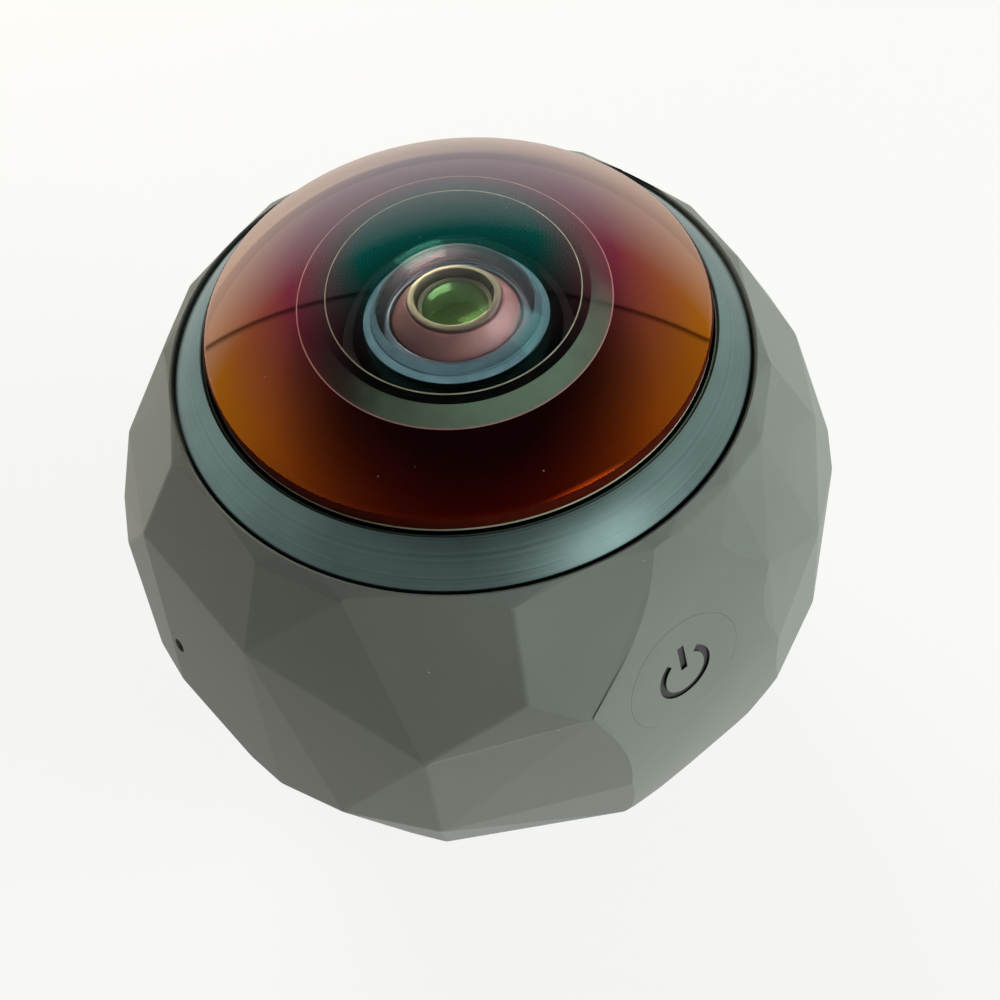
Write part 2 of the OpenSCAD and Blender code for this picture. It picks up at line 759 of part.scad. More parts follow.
module board_screws() {
    color("silver") for (x = [-1, 1], y = [-1, 1]) translate([x * cheek_x, y * board_screw_y, board_top_z])
        screw(main_board_t + screw_hold);
}

module chassis() {
    color("#2d2f31") difference() {
        union() {
            translate([0, 0, floor_top]) cylinder(r = chassis_r, h = chassis_t);
            for (x = [-1, 1]) {
                intersection() {
                    translate([x * cheek_x - cheek_t / 2, -cheek_d / 2, floor_top])
                        cube([cheek_t, cheek_d, main_board_z - floor_top]);
                    translate([0, 0, centre_h]) sphere(r = cavity_r - chassis_gap);
                }
                for (y = [-1, 1]) translate([x * cheek_x, y * board_screw_y, floor_top + chassis_t])
                    intersection() {
                        cylinder(r = chassis_boss_r, h = main_board_z - floor_top - chassis_t, $fn = 32);
                        translate([-x * cheek_t / 2 + (x < 0 ? -2 * over : 0), -2 * over, 0])
                            cube([2 * over, 4 * over, main_board_z]);
                    }
            }
        }
        translate([0, 0, floor_top - over])
            cylinder(r = insert_flange_r + insert_clear, h = chassis_t + 2 * over);
        for (y = [-1, 1]) translate([0, y * chassis_screw_y, floor_top - over])
            cylinder(r = screw_r + fit, h = chassis_t + 2 * over, $fn = 32);
        for (x = [-1, 1], y = [-1, 1]) translate([x * cheek_x, y * board_screw_y, main_board_z - screw_hole])
            cylinder(r = screw_r, h = screw_hole + over, $fn = 32);
    }
}

module chassis_screws() {
    color("silver") for (y = [-1, 1]) translate([0, y * chassis_screw_y, pad_z])
        screw(chassis_t + screw_hold);
}

module battery_pad() {
    color("#3c3f45") translate([0, 0, pad_z]) difference() {
        rounded_plate(battery_w - 2 * pad_margin, battery_d - 2 * pad_margin, pad_t,
            battery_corner_r - pad_margin);
        translate([0, 0, -over]) cylinder(r = insert_flange_r + insert_clear, h = pad_t + 2 * over);
    }
}

module battery() {
    color("#c9ccd0") translate([0, 0, battery_z])
        rounded_plate(battery_w, battery_d, battery_h, battery_corner_r);
}

module motor_case() {
    color("#b5b9bd") translate([motor_place[0], motor_place[1], board_top_z]) difference() {
        cylinder(r = motor_r, h = motor_h);
        translate([0, 0, motor_wall]) cylinder(r = motor_r - motor_wall, h = motor_h - 2 * motor_wall);
    }
}

module motor_shaft() {
    color("#8d9297") translate([motor_place[0], motor_place[1], board_top_z + motor_wall])
        cylinder(r = shaft_r, h = motor_h - 2 * motor_wall);
}

// Off-centre weight of the vibration motor: a half disc on a hub
module motor_rotor() {
    rotor_r = motor_r - motor_wall - rotor_gap;
    rotor_h = motor_h - 2 * motor_wall - 2 * rotor_end_gap;
    rotor_z = board_top_z + motor_wall + rotor_end_gap;
    color("#6b6258") translate([motor_place[0], motor_place[1], rotor_z]) difference() {
        union() {
            cylinder(r = hub_r, h = rotor_h);
            intersection() {
                cylinder(r = rotor_r, h = rotor_h);
                translate([-rotor_r, 0, 0]) cube([2 * rotor_r, rotor_r, rotor_h]);
            }
        }
        translate([0, 0, -over]) cylinder(r = shaft_r + run_fit, h = rotor_h + 2 * over);
    }
}

// Power mark on the button: a broken ring and a bar
module power_mark() {
    linear_extrude(2 * over) {
        difference() {
            circle(mark_r);
            circle(mark_r - mark_w);
            polygon([[0, 0], 2 * mark_r * [-sin(mark_opening / 2), cos(mark_opening / 2)],
                2 * mark_r * [sin(mark_opening / 2), cos(mark_opening / 2)]]);
        }
        translate([-mark_w / 2, mark_bar_start]) square([mark_w, mark_bar]);
    }
}

module button_cap() {
    color("#5a5d55") difference() {
        union() {
            intersection() {
                at_button() translate([0, 0, -button_lip - sliver])
                    cylinder(r = button_r, h = button_lip + over);
                crown_cut();
            }
            at_button() translate([0, 0, cap_flange_z]) {
                cylinder(r = cap_flange_r, h = cap_flange_t);
                cylinder(r = button_r, h = cap_flange_t + over);
                translate([0, 0, -cap_boss_h]) cylinder(r = cap_boss_r, h = cap_boss_h + sliver);
            }
        }
        at_button() translate([0, 0, -mark_depth]) power_mark();
    }
}

// Rubber ring in a groove round the button
module button_seal() {
    color("#141414") at_button() translate([0, 0, -button_seal_depth])
        ring(button_seal_r, button_r + fit, button_seal_h);
}

module switch_plunger() {
    color("#c8c2b4") at_button() translate([0, 0, cap_flange_z - cap_boss_h - plunger_h])
        cylinder(r = plunger_r, h = plunger_h);
}

module tact_switch() {
    color("#202124") at_button() translate([0, 0, -button_board_depth]) difference() {
        rounded_plate(switch_w, switch_w, switch_t, switch_corner_r);
        translate([0, 0, switch_t - plunger_h - button_travel]) cylinder(r = plunger_r + fit, h = switch_t);
    }
}

module button_board() {
    color("#1e4d33") intersection() {
        at_button() translate([0, 0, -button_board_depth - button_board_t]) difference() {
            cylinder(r = button_board_r, h = button_board_t);
            round_array(button_screw_count, button_screw_circle, button_screw_turn)
                translate([0, 0, -over]) cylinder(r = screw_r + fit, h = 3 * over, $fn = 32);
        }
        cylinder(r = ball_r, h = ledge_z - ledge_t);
    }
}

module button_screws() {
    color("silver") at_button() round_array(button_screw_count, button_screw_circle, button_screw_turn)
        translate([0, 0, -button_board_depth - button_board_t]) rotate([180, 0, 0])
            screw(button_board_t + screw_hold);
}

module mic_gasket() {
    color("#141414") at_mic() translate([0, 0, mic_seat - mic_gasket_t])
        ring(mic_gasket_r, mic_hole_r + mic_hole_gap, mic_gasket_t);
}

module microphone() {
    color("#a9adb1") at_mic() translate([0, 0, mic_seat - mic_gasket_t - mic_size[2]])
        chip(mic_size);
}

module mic_board() {
    color("#a5702a") at_mic() translate([0, 0, mic_seat - mic_gasket_t - mic_size[2] - mic_board_t])
        cylinder(r = mic_board_r, h = mic_board_t);
}

module contact_places() {
    for (i = [0:contact_count - 1]) rotate(90 + (i - (contact_count - 1) / 2) * contact_step)
        translate([contact_circle_r, 0, 0]) children();
}

module base_plate() {
    color("#2b2c2e") difference() {
        cylinder(r = base_plate_r, h = base_plate_t);
        translate([0, 0, -over]) cylinder(r = insert_r + fit, h = base_plate_t + 2 * over);
        contact_places() translate([0, 0, -over]) cylinder(r = contact_r + fit, h = base_plate_t + 2 * over);
        translate([0, 0, base_plate_t - seal_groove_depth])
            ring(seal_groove_r + seal_groove_w, seal_groove_r, seal_groove_depth + over);
        round_array(base_screw_count, base_screw_circle, base_screw_turn) translate([0, 0, -sliver]) {
            cylinder(r = base_screw_r + fit, h = base_plate_t + over, $fn = 32);
            cylinder(r1 = base_screw_head_r + 2 * fit, r2 = base_screw_r + fit,
                h = base_screw_head_r - base_screw_r + fit, $fn = 32);
        }
    }
}

module base_seal() {
    color("#141414") translate([0, 0, base_plate_t - seal_groove_depth])
        ring(seal_groove_r + seal_groove_w - fit, seal_groove_r + fit, seal_groove_depth);
}

module tripod_insert() {
    color("#c2a25a") difference() {
        union() {
            cylinder(r = insert_r, h = base_plate_t + sliver);
            translate([0, 0, base_plate_t]) cylinder(r = insert_flange_r, h = insert_flange_t);
            cylinder(r = insert_neck_r, h = insert_top_z);
        }
        translate([0, 0, -over]) cylinder(r = tripod_r, h = tripod_depth + over);
    }
}

module charging_contacts() {
    color("#d4af5a") contact_places() cylinder(r = contact_r, h = contact_h);
}

module charge_board() {
    color("#1e4d33") translate([0, 0, contact_h])
        ring(floor_hole_r - base_gap, insert_flange_r + insert_clear, charge_board_t);
}

module base_screws() {
    head_h = base_screw_head_r - base_screw_r;
    color("#303134") round_array(base_screw_count, base_screw_circle, base_screw_turn) difference() {
        union() {
            cylinder(r1 = base_screw_head_r, r2 = base_screw_r, h = head_h, $fn = 32);
            cylinder(r = base_screw_r, h = base_plate_t + base_screw_reach - fit, $fn = 32);
        }
        translate([0, 0, -over]) cylinder(r = base_socket_r, h = over + head_h / 2, $fn = 6);
    }
}

faceted_shell();
bezel_ring();
bezel_gasket();
front_dome();
dome_mask();
dome_seal();
lens_barrel();
flange_screws();
baffle_ring();
second_element();
barrel_retainer();
funnel_baffle();
inner_cell();
third_element();
fourth_element();
aperture_stop();
rear_element();
rear_retainer();
infrared_filter();
image_sensor();
sensor_board();
sensor_screws();
sensor_flex();
flex_connectors();
main_board();
processor_shield();
memory_chip();
wireless_module();
board_screws();
chassis();
chassis_screws();
battery_pad();
battery();
motor_case();
motor_shaft();
motor_rotor();
button_cap();
button_seal();
switch_plunger();
tact_switch();
button_board();
button_screws();
microphone();
mic_gasket();
mic_board();
base_plate();
base_seal();
tripod_insert();
charging_contacts();
charge_board();
base_screws();
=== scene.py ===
"""Looks of a ball-shaped 360 degree camera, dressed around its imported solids.

A faceted soft-touch ball carries one upward fisheye lens under a coated glass dome, a turned metal bezel
round the dome, a round press button in its crowned front facet and a tripod socket in its base.
Sizes in the classes are millimetres, and the meshes that they make are in metres.
"""

import json
import logging
import math
from collections.abc import Callable, Sequence
from dataclasses import dataclass
from enum import Enum
from typing import Any

import bmesh
import bpy
from mathutils import Matrix, Vector


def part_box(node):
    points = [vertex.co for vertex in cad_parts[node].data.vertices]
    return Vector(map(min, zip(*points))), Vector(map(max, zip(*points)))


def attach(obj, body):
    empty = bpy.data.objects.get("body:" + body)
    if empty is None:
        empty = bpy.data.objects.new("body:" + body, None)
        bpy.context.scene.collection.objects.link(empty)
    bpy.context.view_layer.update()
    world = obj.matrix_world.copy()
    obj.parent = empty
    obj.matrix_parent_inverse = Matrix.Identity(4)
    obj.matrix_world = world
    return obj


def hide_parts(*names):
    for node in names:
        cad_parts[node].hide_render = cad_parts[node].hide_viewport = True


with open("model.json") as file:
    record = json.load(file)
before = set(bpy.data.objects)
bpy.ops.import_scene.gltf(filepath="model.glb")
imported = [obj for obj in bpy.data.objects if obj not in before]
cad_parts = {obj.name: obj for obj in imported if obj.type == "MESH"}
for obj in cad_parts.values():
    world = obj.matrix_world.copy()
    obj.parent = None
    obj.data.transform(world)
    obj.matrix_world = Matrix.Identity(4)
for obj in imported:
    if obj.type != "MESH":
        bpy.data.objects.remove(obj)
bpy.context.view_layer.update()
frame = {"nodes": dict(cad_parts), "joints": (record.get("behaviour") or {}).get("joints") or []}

LOG = logging.getLogger("camera_looks")
MM = 0.001
AXIS = Vector((0.0, 0.0, 1.0))
WHITE = "#ffffff"
Colour = tuple[float, float, float, float]
Outline = Sequence[tuple[float, float]]
Stops = tuple[tuple[float, str], ...]
Socket = bpy.types.NodeSocket
Tree = bpy.types.NodeTree
# Drops the height from a place, which leaves its way from the lens axis
FLAT = (1.0, 1.0, 0.0)
# Levels between which a noise texture mostly stays
NOISE_LOW = 0.3
NOISE_HIGH = 0.7
# Share of a dust speck's radius within which it lies thickest
SPECK_CORE = 0.5
# Points of a spun outline that are nearer than this many millimetres become one
SEAM = 0.001


class Body(Enum):
    """The bodies that pieces ride on."""

    CAMERA = "camera_body"
    BUTTON = "button"


def linear(code: str) -> Colour:
    """Turn an sRGB hex colour into linear light.

    Args:
        code: Colour such as "#6d7168".

    Returns:
        Linear red, green and blue, with an alpha of 1.
    """
    shares = [int(code[i:i + 2], 16) / 255 for i in (1, 3, 5)]
    red, green, blue = (c / 12.92 if c <= 0.04045 else ((c + 0.055) / 1.055) ** 2.4 for c in shares)
    return red, green, blue, 1.0


def per_metre(size: float) -> float:
    """Return the texture scale at which one repeat measures size millimetres."""
    return 1 / (size * MM)


def add(tree: Tree, kind: str, sockets: dict[str | int, Any] | None = None,
        **settings: Any) -> bpy.types.Node:
    """Add a shader node, set its properties and fill its inputs.

    Args:
        tree: Node tree that gets the node.
        kind: Blender's name for the node.
        sockets: Input names or places, each with a value or with the output that feeds it.
        **settings: Properties of the node, and stops for the places and colours of a colour ramp.

    Returns:
        The new node.
    """
    node = tree.nodes.new(kind)
    stops = settings.pop("stops", [])
    for name, value in settings.items():
        setattr(node, name, value)
    for place, colour in stops[1:-1]:
        node.color_ramp.elements.new(place).color = colour
    for i in (0, -1) if stops else ():
        node.color_ramp.elements[i].position, node.color_ramp.elements[i].color = stops[i]
    for key, value in (sockets or {}).items():
        if isinstance(value, Socket):
            tree.links.new(value, node.inputs[key])
        else:
            node.inputs[key].default_value = value
    return node


def clouded(tree: Tree, place: Socket, size: float, shades: tuple[str, str], roughness: float,
            swing: float, detail: float = 4.0) -> tuple[Socket, Socket]:
    """Let a colour and a roughness drift together in soft clouds.

    Args:
        tree: Node tree of the material.
        place: Output with the place on the piece.
        size: Size of the clouds, in millimetres.
        shades: Darkest and lightest colour.
        roughness: Middle of the roughness.
        swing: How far the roughness drifts to either side.
        detail: Number of finer clouds within the clouds.

    Returns:
        Outputs with the colour and the roughness.
    """
    cloud = add(tree, "ShaderNodeTexNoise", {"Vector": place, "Scale": per_metre(size), "Detail": detail})
    colour = add(tree, "ShaderNodeValToRGB", {"Fac": cloud.outputs["Fac"]},
                 stops=[(NOISE_LOW, linear(shades[0])), (NOISE_HIGH, linear(shades[1]))])
    rough = add(tree, "ShaderNodeMapRange", {"Value": cloud.outputs["Fac"], "To Min": roughness - swing,
                                             "To Max": roughness + swing})
    return colour.outputs[0], rough.outputs[0]


def settled_dust(tree: Tree, place: Socket, cell: float, size: float, cover: float) -> Socket:
    """Scatter dust specks.

    Args:
        tree: Node tree of the material.
        place: Output with the place on the piece.
        cell: Distance between specks, in millimetres.
        size: Radius of a speck, in millimetres.
        cover: How much of the surface the middle of a speck hides.

    Returns:
        Output with the share that dust hides.
    """
    specks = add(tree, "ShaderNodeTexVoronoi", {"Vector": place, "Scale": per_metre(cell)})
    return add(tree, "ShaderNodeMapRange", {
        "Value": specks.outputs["Distance"], "From Min": size / cell, "From Max": SPECK_CORE * size / cell,
        "To Min": 0.0, "To Max": cover}).outputs[0]


@dataclass(frozen=True)
class Finish:
    """A surface finish that makes its own material."""

    name: str

    def surface(self, tree: Tree) -> Socket:
        """Build the shader and return its output."""
        raise NotImplementedError

    def material(self) -> bpy.types.Material:
        """Make the finish's material, once.

        Returns:
            The material, which every piece with this finish shares.
        """
        known = bpy.data.materials.get(self.name)
        if known:
            return known
        made = bpy.data.materials.new(self.name)
        made.use_nodes = True
        made.node_tree.nodes.clear()
        add(made.node_tree, "ShaderNodeOutputMaterial", {"Surface": self.surface(made.node_tree)})
        return made


@dataclass(frozen=True)
class SoftTouchLacquer(Finish):
    """Rubbery lacquer sprayed on moulded polycarbonate: matt, faintly clouded, with a fine dry grain."""

    name: str = "soft_touch_lacquer"
    low: str = "#6c7067"
    high: str = "#757970"
    dust: str = "#d2d2cb"
    dust_cover: float = 0.8
    roughness: float = 0.48
    gloss_swing: float = 0.05
    ior: float = 1.47
    sheen: float = 0.12
    sheen_roughness: float = 0.4
    cloud: float = 9.0
    # The real grain is near 0.05 mm, too fine to show, so it is drawn coarser
    grain: float = 0.22
    grain_detail: float = 2.0
    grain_depth: float = 0.006
    grain_strength: float = 0.5
    dust_cell: float = 2.6
    dust_size: float = 0.075

    def surface(self, tree: Tree) -> Socket:
        """Build clouded paint with a bumped grain and a few settled dust specks.

        Args:
            tree: Node tree of the material.

        Returns:
            Output with the shader.
        """
        place = add(tree, "ShaderNodeTexCoord").outputs["Object"]
        paint, rough = clouded(tree, place, self.cloud, (self.low, self.high), self.roughness,
                               self.gloss_swing)
        grain = add(tree, "ShaderNodeTexNoise", {"Vector": place, "Scale": per_metre(self.grain),
                                                 "Detail": self.grain_detail})
        bump = add(tree, "ShaderNodeBump", {"Height": grain.outputs["Fac"], "Strength": self.grain_strength,
                                            "Distance": self.grain_depth * MM})
        dusty = settled_dust(tree, place, self.dust_cell, self.dust_size, self.dust_cover)
        colour = add(tree, "ShaderNodeMix", {0: dusty, 6: paint, 7: linear(self.dust)}, data_type="RGBA")
        return add(tree, "ShaderNodeBsdfPrincipled", {
            "Base Color": colour.outputs[2], "Roughness": rough, "IOR": self.ior, "Sheen Weight": self.sheen,
            "Sheen Roughness": self.sheen_roughness, "Normal": bump.outputs[0]}).outputs[0]


@dataclass(frozen=True)
class TurnedMetal(Finish):
    """Metal turned on a lathe: rings of fine tool lines that pull each highlight into a fan."""

    dark: str
    light: str
    roughness: float = 0.3
    gloss_swing: float = 0.08
    anisotropy: float = 0.6
    mottle: float = 4.0
    mottle_detail: float = 3.0
    # Levels of the lines and the mottle together at which the metal is darkest and lightest
    shade_range: tuple[float, float] = (0.35, 0.65)
    # Tool lines are near 0.05 mm apart, and are drawn coarser so that they show
    line: float = 0.16
    line_detail: float = 2.0
    line_depth: float = 0.004
    line_strength: float = 0.4

    def surface(self, tree: Tree) -> Socket:
        """Build rings of tool lines round the vertical axis, with a faint mottle in the colour.

        Args:
            tree: Node tree of the material.

        Returns:
            Output with the shader.
        """
        place = add(tree, "ShaderNodeTexCoord").outputs["Object"]
        flat = add(tree, "ShaderNodeVectorMath", {0: place, 1: FLAT}, operation="MULTIPLY")
        radius = add(tree, "ShaderNodeVectorMath", {0: flat.outputs[0]}, operation="LENGTH").outputs["Value"]
        lines = add(tree, "ShaderNodeTexNoise", {"W": radius, "Scale": per_metre(self.line),
                                                 "Detail": self.line_detail}, noise_dimensions="1D")
        mottle = add(tree, "ShaderNodeTexNoise", {"Vector": place, "Scale": per_metre(self.mottle),
                                                  "Detail": self.mottle_detail})
        both = add(tree, "ShaderNodeMath", {0: lines.outputs["Fac"], 1: mottle.outputs["Fac"]},
                   operation="ADD")
        mean = add(tree, "ShaderNodeMath", {0: both.outputs[0], 1: 0.5}, operation="MULTIPLY")
        dark_at, light_at = self.shade_range
        colour = add(tree, "ShaderNodeValToRGB", {"Fac": mean.outputs[0]},
                     stops=[(dark_at, linear(self.dark)), (light_at, linear(self.light))])
        rough = add(tree, "ShaderNodeMapRange", {"Value": lines.outputs["Fac"],
                                                 "To Min": self.roughness - self.gloss_swing,
                                                 "To Max": self.roughness + self.gloss_swing})
        bump = add(tree, "ShaderNodeBump", {"Height": lines.outputs["Fac"], "Strength": self.line_strength,
                                            "Distance": self.line_depth * MM})
        turn = add(tree, "ShaderNodeTangent", direction_type="RADIAL", axis="Z")
        return add(tree, "ShaderNodeBsdfPrincipled", {
            "Base Color": colour.outputs[0], "Metallic": 1.0, "Roughness": rough.outputs[0],
            "Anisotropic": self.anisotropy, "Tangent": turn.outputs[0],
            "Normal": bump.outputs[0]}).outputs[0]


@dataclass(frozen=True)
class PlainMetal(Finish):
    """Plated or rolled metal: bright, with faint clouds of handling in its gloss."""

    dark: str
    light: str
    roughness: float = 0.28
    gloss_swing: float = 0.1
    cloud: float = 1.6
    cloud_detail: float = 5.0

    def surface(self, tree: Tree) -> Socket:
        """Build a metal whose colour and gloss drift together.

        Args:
            tree: Node tree of the material.

        Returns:
            Output with the shader.
        """
        place = add(tree, "ShaderNodeTexCoord").outputs["Object"]
        colour, rough = clouded(tree, place, self.cloud, (self.dark, self.light), self.roughness,
                                self.gloss_swing, self.cloud_detail)
        return add(tree, "ShaderNodeBsdfPrincipled", {
            "Base Color": colour, "Metallic": 1.0, "Roughness": rough}).outputs[0]


@dataclass(frozen=True)
class MouldedPolymer(Finish):
    """Plastic, rubber or paint with a grained face: even in colour, with a bump that breaks its gloss."""

    dark: str
    light: str
    roughness: float = 0.55
    gloss_swing: float = 0.06
    ior: float = 1.5
    # Number of grains across a cloud of colour
    cloud_grains: float = 12.0
    grain: float = 0.25
    grain_depth: float = 0.012
    grain_strength: float = 0.6

    def surface(self, tree: Tree) -> Socket:
        """Build a grained polymer with a slow drift in its colour.

        Args:
            tree: Node tree of the material.

        Returns:
            Output with the shader.
        """
        place = add(tree, "ShaderNodeTexCoord").outputs["Object"]
        colour, rough = clouded(tree, place, self.cloud_grains * self.grain, (self.dark, self.light),
                                self.roughness, self.gloss_swing)
        grain = add(tree, "ShaderNodeTexVoronoi", {"Vector": place, "Scale": per_metre(self.grain)},
                    feature="SMOOTH_F1")
        bump = add(tree, "ShaderNodeBump", {"Height": grain.outputs["Distance"],
                                            "Strength": self.grain_strength,
                                            "Distance": self.grain_depth * MM})
        return add(tree, "ShaderNodeBsdfPrincipled", {
            "Base Color": colour, "Roughness": rough, "IOR": self.ior, "Normal": bump.outputs[0]}).outputs[0]


@dataclass(frozen=True)
class CoatedGlass(Finish):
    """Polished optical glass with a vacuum coating: clear head on, tinted as it turns away.

    Each coat is a distance from the axis and the light that the coating mirrors there, from head on to
    edge on. The coating lies thicker further out, which turns its colour.
    """

    ior: float
    coats: tuple[tuple[float, Stops], ...]
    haze: float = 0.02
    dust: str = "#d8d8d4"
    dust_cover: float = 0.7
    dust_cell: float = 2.2
    dust_size: float = 0.05

    def coating(self, tree: Tree, place: Socket) -> Socket:
        """Blend the coats by their distance from the axis.

        Args:
            tree: Node tree of the material.
            place: Output with the place on the piece.

        Returns:
            Output with the light that the coating mirrors.
        """
        facing = add(tree, "ShaderNodeLayerWeight", {"Blend": 0.5}).outputs["Facing"]
        flat = add(tree, "ShaderNodeVectorMath", {0: place, 1: FLAT}, operation="MULTIPLY")
        radius = add(tree, "ShaderNodeVectorMath", {0: flat.outputs[0]}, operation="LENGTH").outputs["Value"]
        ramps = [add(tree, "ShaderNodeValToRGB", {"Fac": facing},
                     stops=[(at, linear(code)) for at, code in stops]).outputs[0] for _, stops in self.coats]
        mirrored = ramps[0]
        for (inner, _), (outer, _), ramp in zip(self.coats, self.coats[1:], ramps[1:]):
            share = add(tree, "ShaderNodeMapRange", {"Value": radius, "From Min": inner * MM,
                                                     "From Max": outer * MM})
            mirrored = add(tree, "ShaderNodeMix", {0: share.outputs[0], 6: mirrored, 7: ramp},
                           data_type="RGBA").outputs[2]
        return mirrored

    def surface(self, tree: Tree) -> Socket:
        """Build clear glass under a tinted mirror, with a few dust specks, that lets lamp light through.

        Args:
            tree: Node tree of the material.

        Returns:
            Output with the shader.
        """
        place = add(tree, "ShaderNodeTexCoord").outputs["Object"]
        mirrored = self.coating(tree, place)
        share = add(tree, "ShaderNodeSeparateColor", {0: mirrored}, mode="HSV").outputs[2]
        tint = add(tree, "ShaderNodeVectorMath", {0: mirrored, 1: share}, operation="DIVIDE")
        through = add(tree, "ShaderNodeBsdfRefraction", {"Color": linear(WHITE), "Roughness": 0.0,
                                                         "IOR": self.ior})
        mirror = add(tree, "ShaderNodeBsdfAnisotropic", {"Color": tint.outputs[0], "Roughness": self.haze})
        glass = add(tree, "ShaderNodeMixShader", {0: share, 1: through.outputs[0], 2: mirror.outputs[0]})
        dusty = settled_dust(tree, place, self.dust_cell, self.dust_size, self.dust_cover)
        dust = add(tree, "ShaderNodeBsdfDiffuse", {"Color": linear(self.dust)})
        dusted = add(tree, "ShaderNodeMixShader", {0: dusty, 1: glass.outputs[0], 2: dust.outputs[0]})
        ray = add(tree, "ShaderNodeLightPath").outputs["Is Shadow Ray"]
        open_way = add(tree, "ShaderNodeBsdfTransparent", {"Color": linear(WHITE)})
        return add(tree, "ShaderNodeMixShader", {0: ray, 1: dusted.outputs[0],
                                                 2: open_way.outputs[0]}).outputs[0]


@dataclass(frozen=True)
class GradedPaint(Finish):
    """Dull paint that darkens round the axis, which stands for uneven light on a ring under glass."""

    stops: Stops
    toward: tuple[float, float, float] = (-0.18, -0.98, 0.0)
    roughness: float = 0.6
    ior: float = 1.02
    mottle: float = 1.2
    mottle_detail: float = 3.0
    mottle_swing: float = 0.06

    def surface(self, tree: Tree) -> Socket:
        """Build a colour that turns round the axis, with a faint mottle.

        Args:
            tree: Node tree of the material.

        Returns:
            Output with the shader.
        """
        place = add(tree, "ShaderNodeTexCoord").outputs["Object"]
        flat = add(tree, "ShaderNodeVectorMath", {0: place, 1: FLAT}, operation="MULTIPLY")
        unit = add(tree, "ShaderNodeVectorMath", {0: flat.outputs[0]}, operation="NORMALIZE").outputs[0]
        side = add(tree, "ShaderNodeVectorMath", {0: unit, 1: self.toward}, operation="DOT_PRODUCT")
        level = add(tree, "ShaderNodeMapRange", {"Value": side.outputs["Value"], "From Min": -1.0,
                                                 "From Max": 1.0}).outputs[0]
        mottle = add(tree, "ShaderNodeTexNoise", {"Vector": place, "Scale": per_metre(self.mottle),
                                                  "Detail": self.mottle_detail}).outputs["Fac"]
        drift = add(tree, "ShaderNodeMapRange", {"Value": mottle, "To Min": -self.mottle_swing,
                                                 "To Max": self.mottle_swing}).outputs[0]
        varied = add(tree, "ShaderNodeMath", {0: level, 1: drift}, operation="ADD").outputs[0]
        colour = add(tree, "ShaderNodeValToRGB", {"Fac": varied},
                     stops=[(at, linear(code)) for at, code in self.stops])
        return add(tree, "ShaderNodeBsdfPrincipled", {
            "Base Color": colour.outputs[0], "Roughness": self.roughness, "IOR": self.ior}).outputs[0]


@dataclass(frozen=True)
class CircuitLaminate(Finish):
    """Glass-epoxy board under solder mask: glossy green with copper tracks showing through."""

    name: str = "solder_mask_laminate"
    mask: str = "#174a2e"
    track: str = "#2c7a4a"
    pitch: float = 1.4
    # Distances from a cell's middle, over the pitch, between which the mask climbs onto the tracks round it
    foot: tuple[float, float] = (0.36, 0.42)
    rise: float = 0.03
    rise_strength: float = 0.4
    roughness: float = 0.25
    ior: float = 1.52

    def surface(self, tree: Tree) -> Socket:
        """Build square-cornered tracks under a glossy mask.

        Args:
            tree: Node tree of the material.

        Returns:
            Output with the shader.
        """
        place = add(tree, "ShaderNodeTexCoord").outputs["Object"]
        tracks = add(tree, "ShaderNodeTexVoronoi", {"Vector": place, "Scale": per_metre(self.pitch)},
                     distance="CHEBYCHEV", feature="F1")
        edge = add(tree, "ShaderNodeMapRange", {"Value": tracks.outputs["Distance"], "From Min": self.foot[0],
                                                "From Max": self.foot[1]}).outputs[0]
        colour = add(tree, "ShaderNodeValToRGB", {"Fac": edge},
                     stops=[(0.0, linear(self.mask)), (1.0, linear(self.track))])
        bump = add(tree, "ShaderNodeBump", {"Height": edge, "Strength": self.rise_strength,
                                            "Distance": self.rise * MM})
        return add(tree, "ShaderNodeBsdfPrincipled", {
            "Base Color": colour.outputs[0], "Roughness": self.roughness, "IOR": self.ior,
            "Normal": bump.outputs[0]}).outputs[0]


@dataclass(frozen=True)
class OpticDie(Finish):
    """Bare image sensor: dark polished silicon with a fine blue-grey grid."""

    name: str = "silicon_die"
    dark: str = "#15181d"
    sheen: str = "#3b4a55"
    cell: float = 0.3
    line: float = 0.06
    metallic: float = 0.4
    roughness: float = 0.15

    def surface(self, tree: Tree) -> Socket:
        """Build a grid of cells on polished silicon.

        Args:
            tree: Node tree of the material.

        Returns:
            Output with the shader.
        """
        place = add(tree, "ShaderNodeTexCoord").outputs["Object"]
        cells = add(tree, "ShaderNodeTexBrick", {"Vector": place, "Scale": per_metre(self.cell),
                                                 "Color1": linear(self.dark), "Color2": linear(self.dark),
                                                 "Mortar": linear(self.sheen), "Mortar Size": self.line})
        return add(tree, "ShaderNodeBsdfPrincipled", {
            "Base Color": cells.outputs["Color"], "Metallic": self.metallic,
            "Roughness": self.roughness}).outputs[0]


# Soft-touch lacquer: matt grey-green with a dry grain
SHELL = SoftTouchLacquer()
# Anodised aluminium: a cool teal-grey with turned lines
BEZEL = TurnedMetal("anodised_aluminium", "#657b78", "#748b88", roughness=0.3)
# Nitrile rubber: dull black
RUBBER = MouldedPolymer("nitrile_rubber", "#0d0d0d", "#161616", roughness=0.75)
# Colours of the dome's coating
CLEAR = "#020303"
TEAL = "#0a4640"
WINE = "#702838"
OXBLOOD = "#680e04"
AMBER = "#985810"
MAUVE_GREY = "#948c90"
PALE = "#d4c8c2"
# Crown glass with a broadband coating: teal in the middle, wine further out, amber at the rim, and pale
# where it turns edge on
DOME_GLASS = CoatedGlass("coated_crown_glass", ior=1.52, coats=(
    (6.0, ((0.0, CLEAR), (0.35, TEAL), (0.7, MAUVE_GREY), (1.0, PALE))),
    (11.0, ((0.1, CLEAR), (0.4, WINE), (0.7, MAUVE_GREY), (1.0, PALE))),
    (17.0, ((0.0, OXBLOOD), (0.42, AMBER), (1.0, PALE)))))
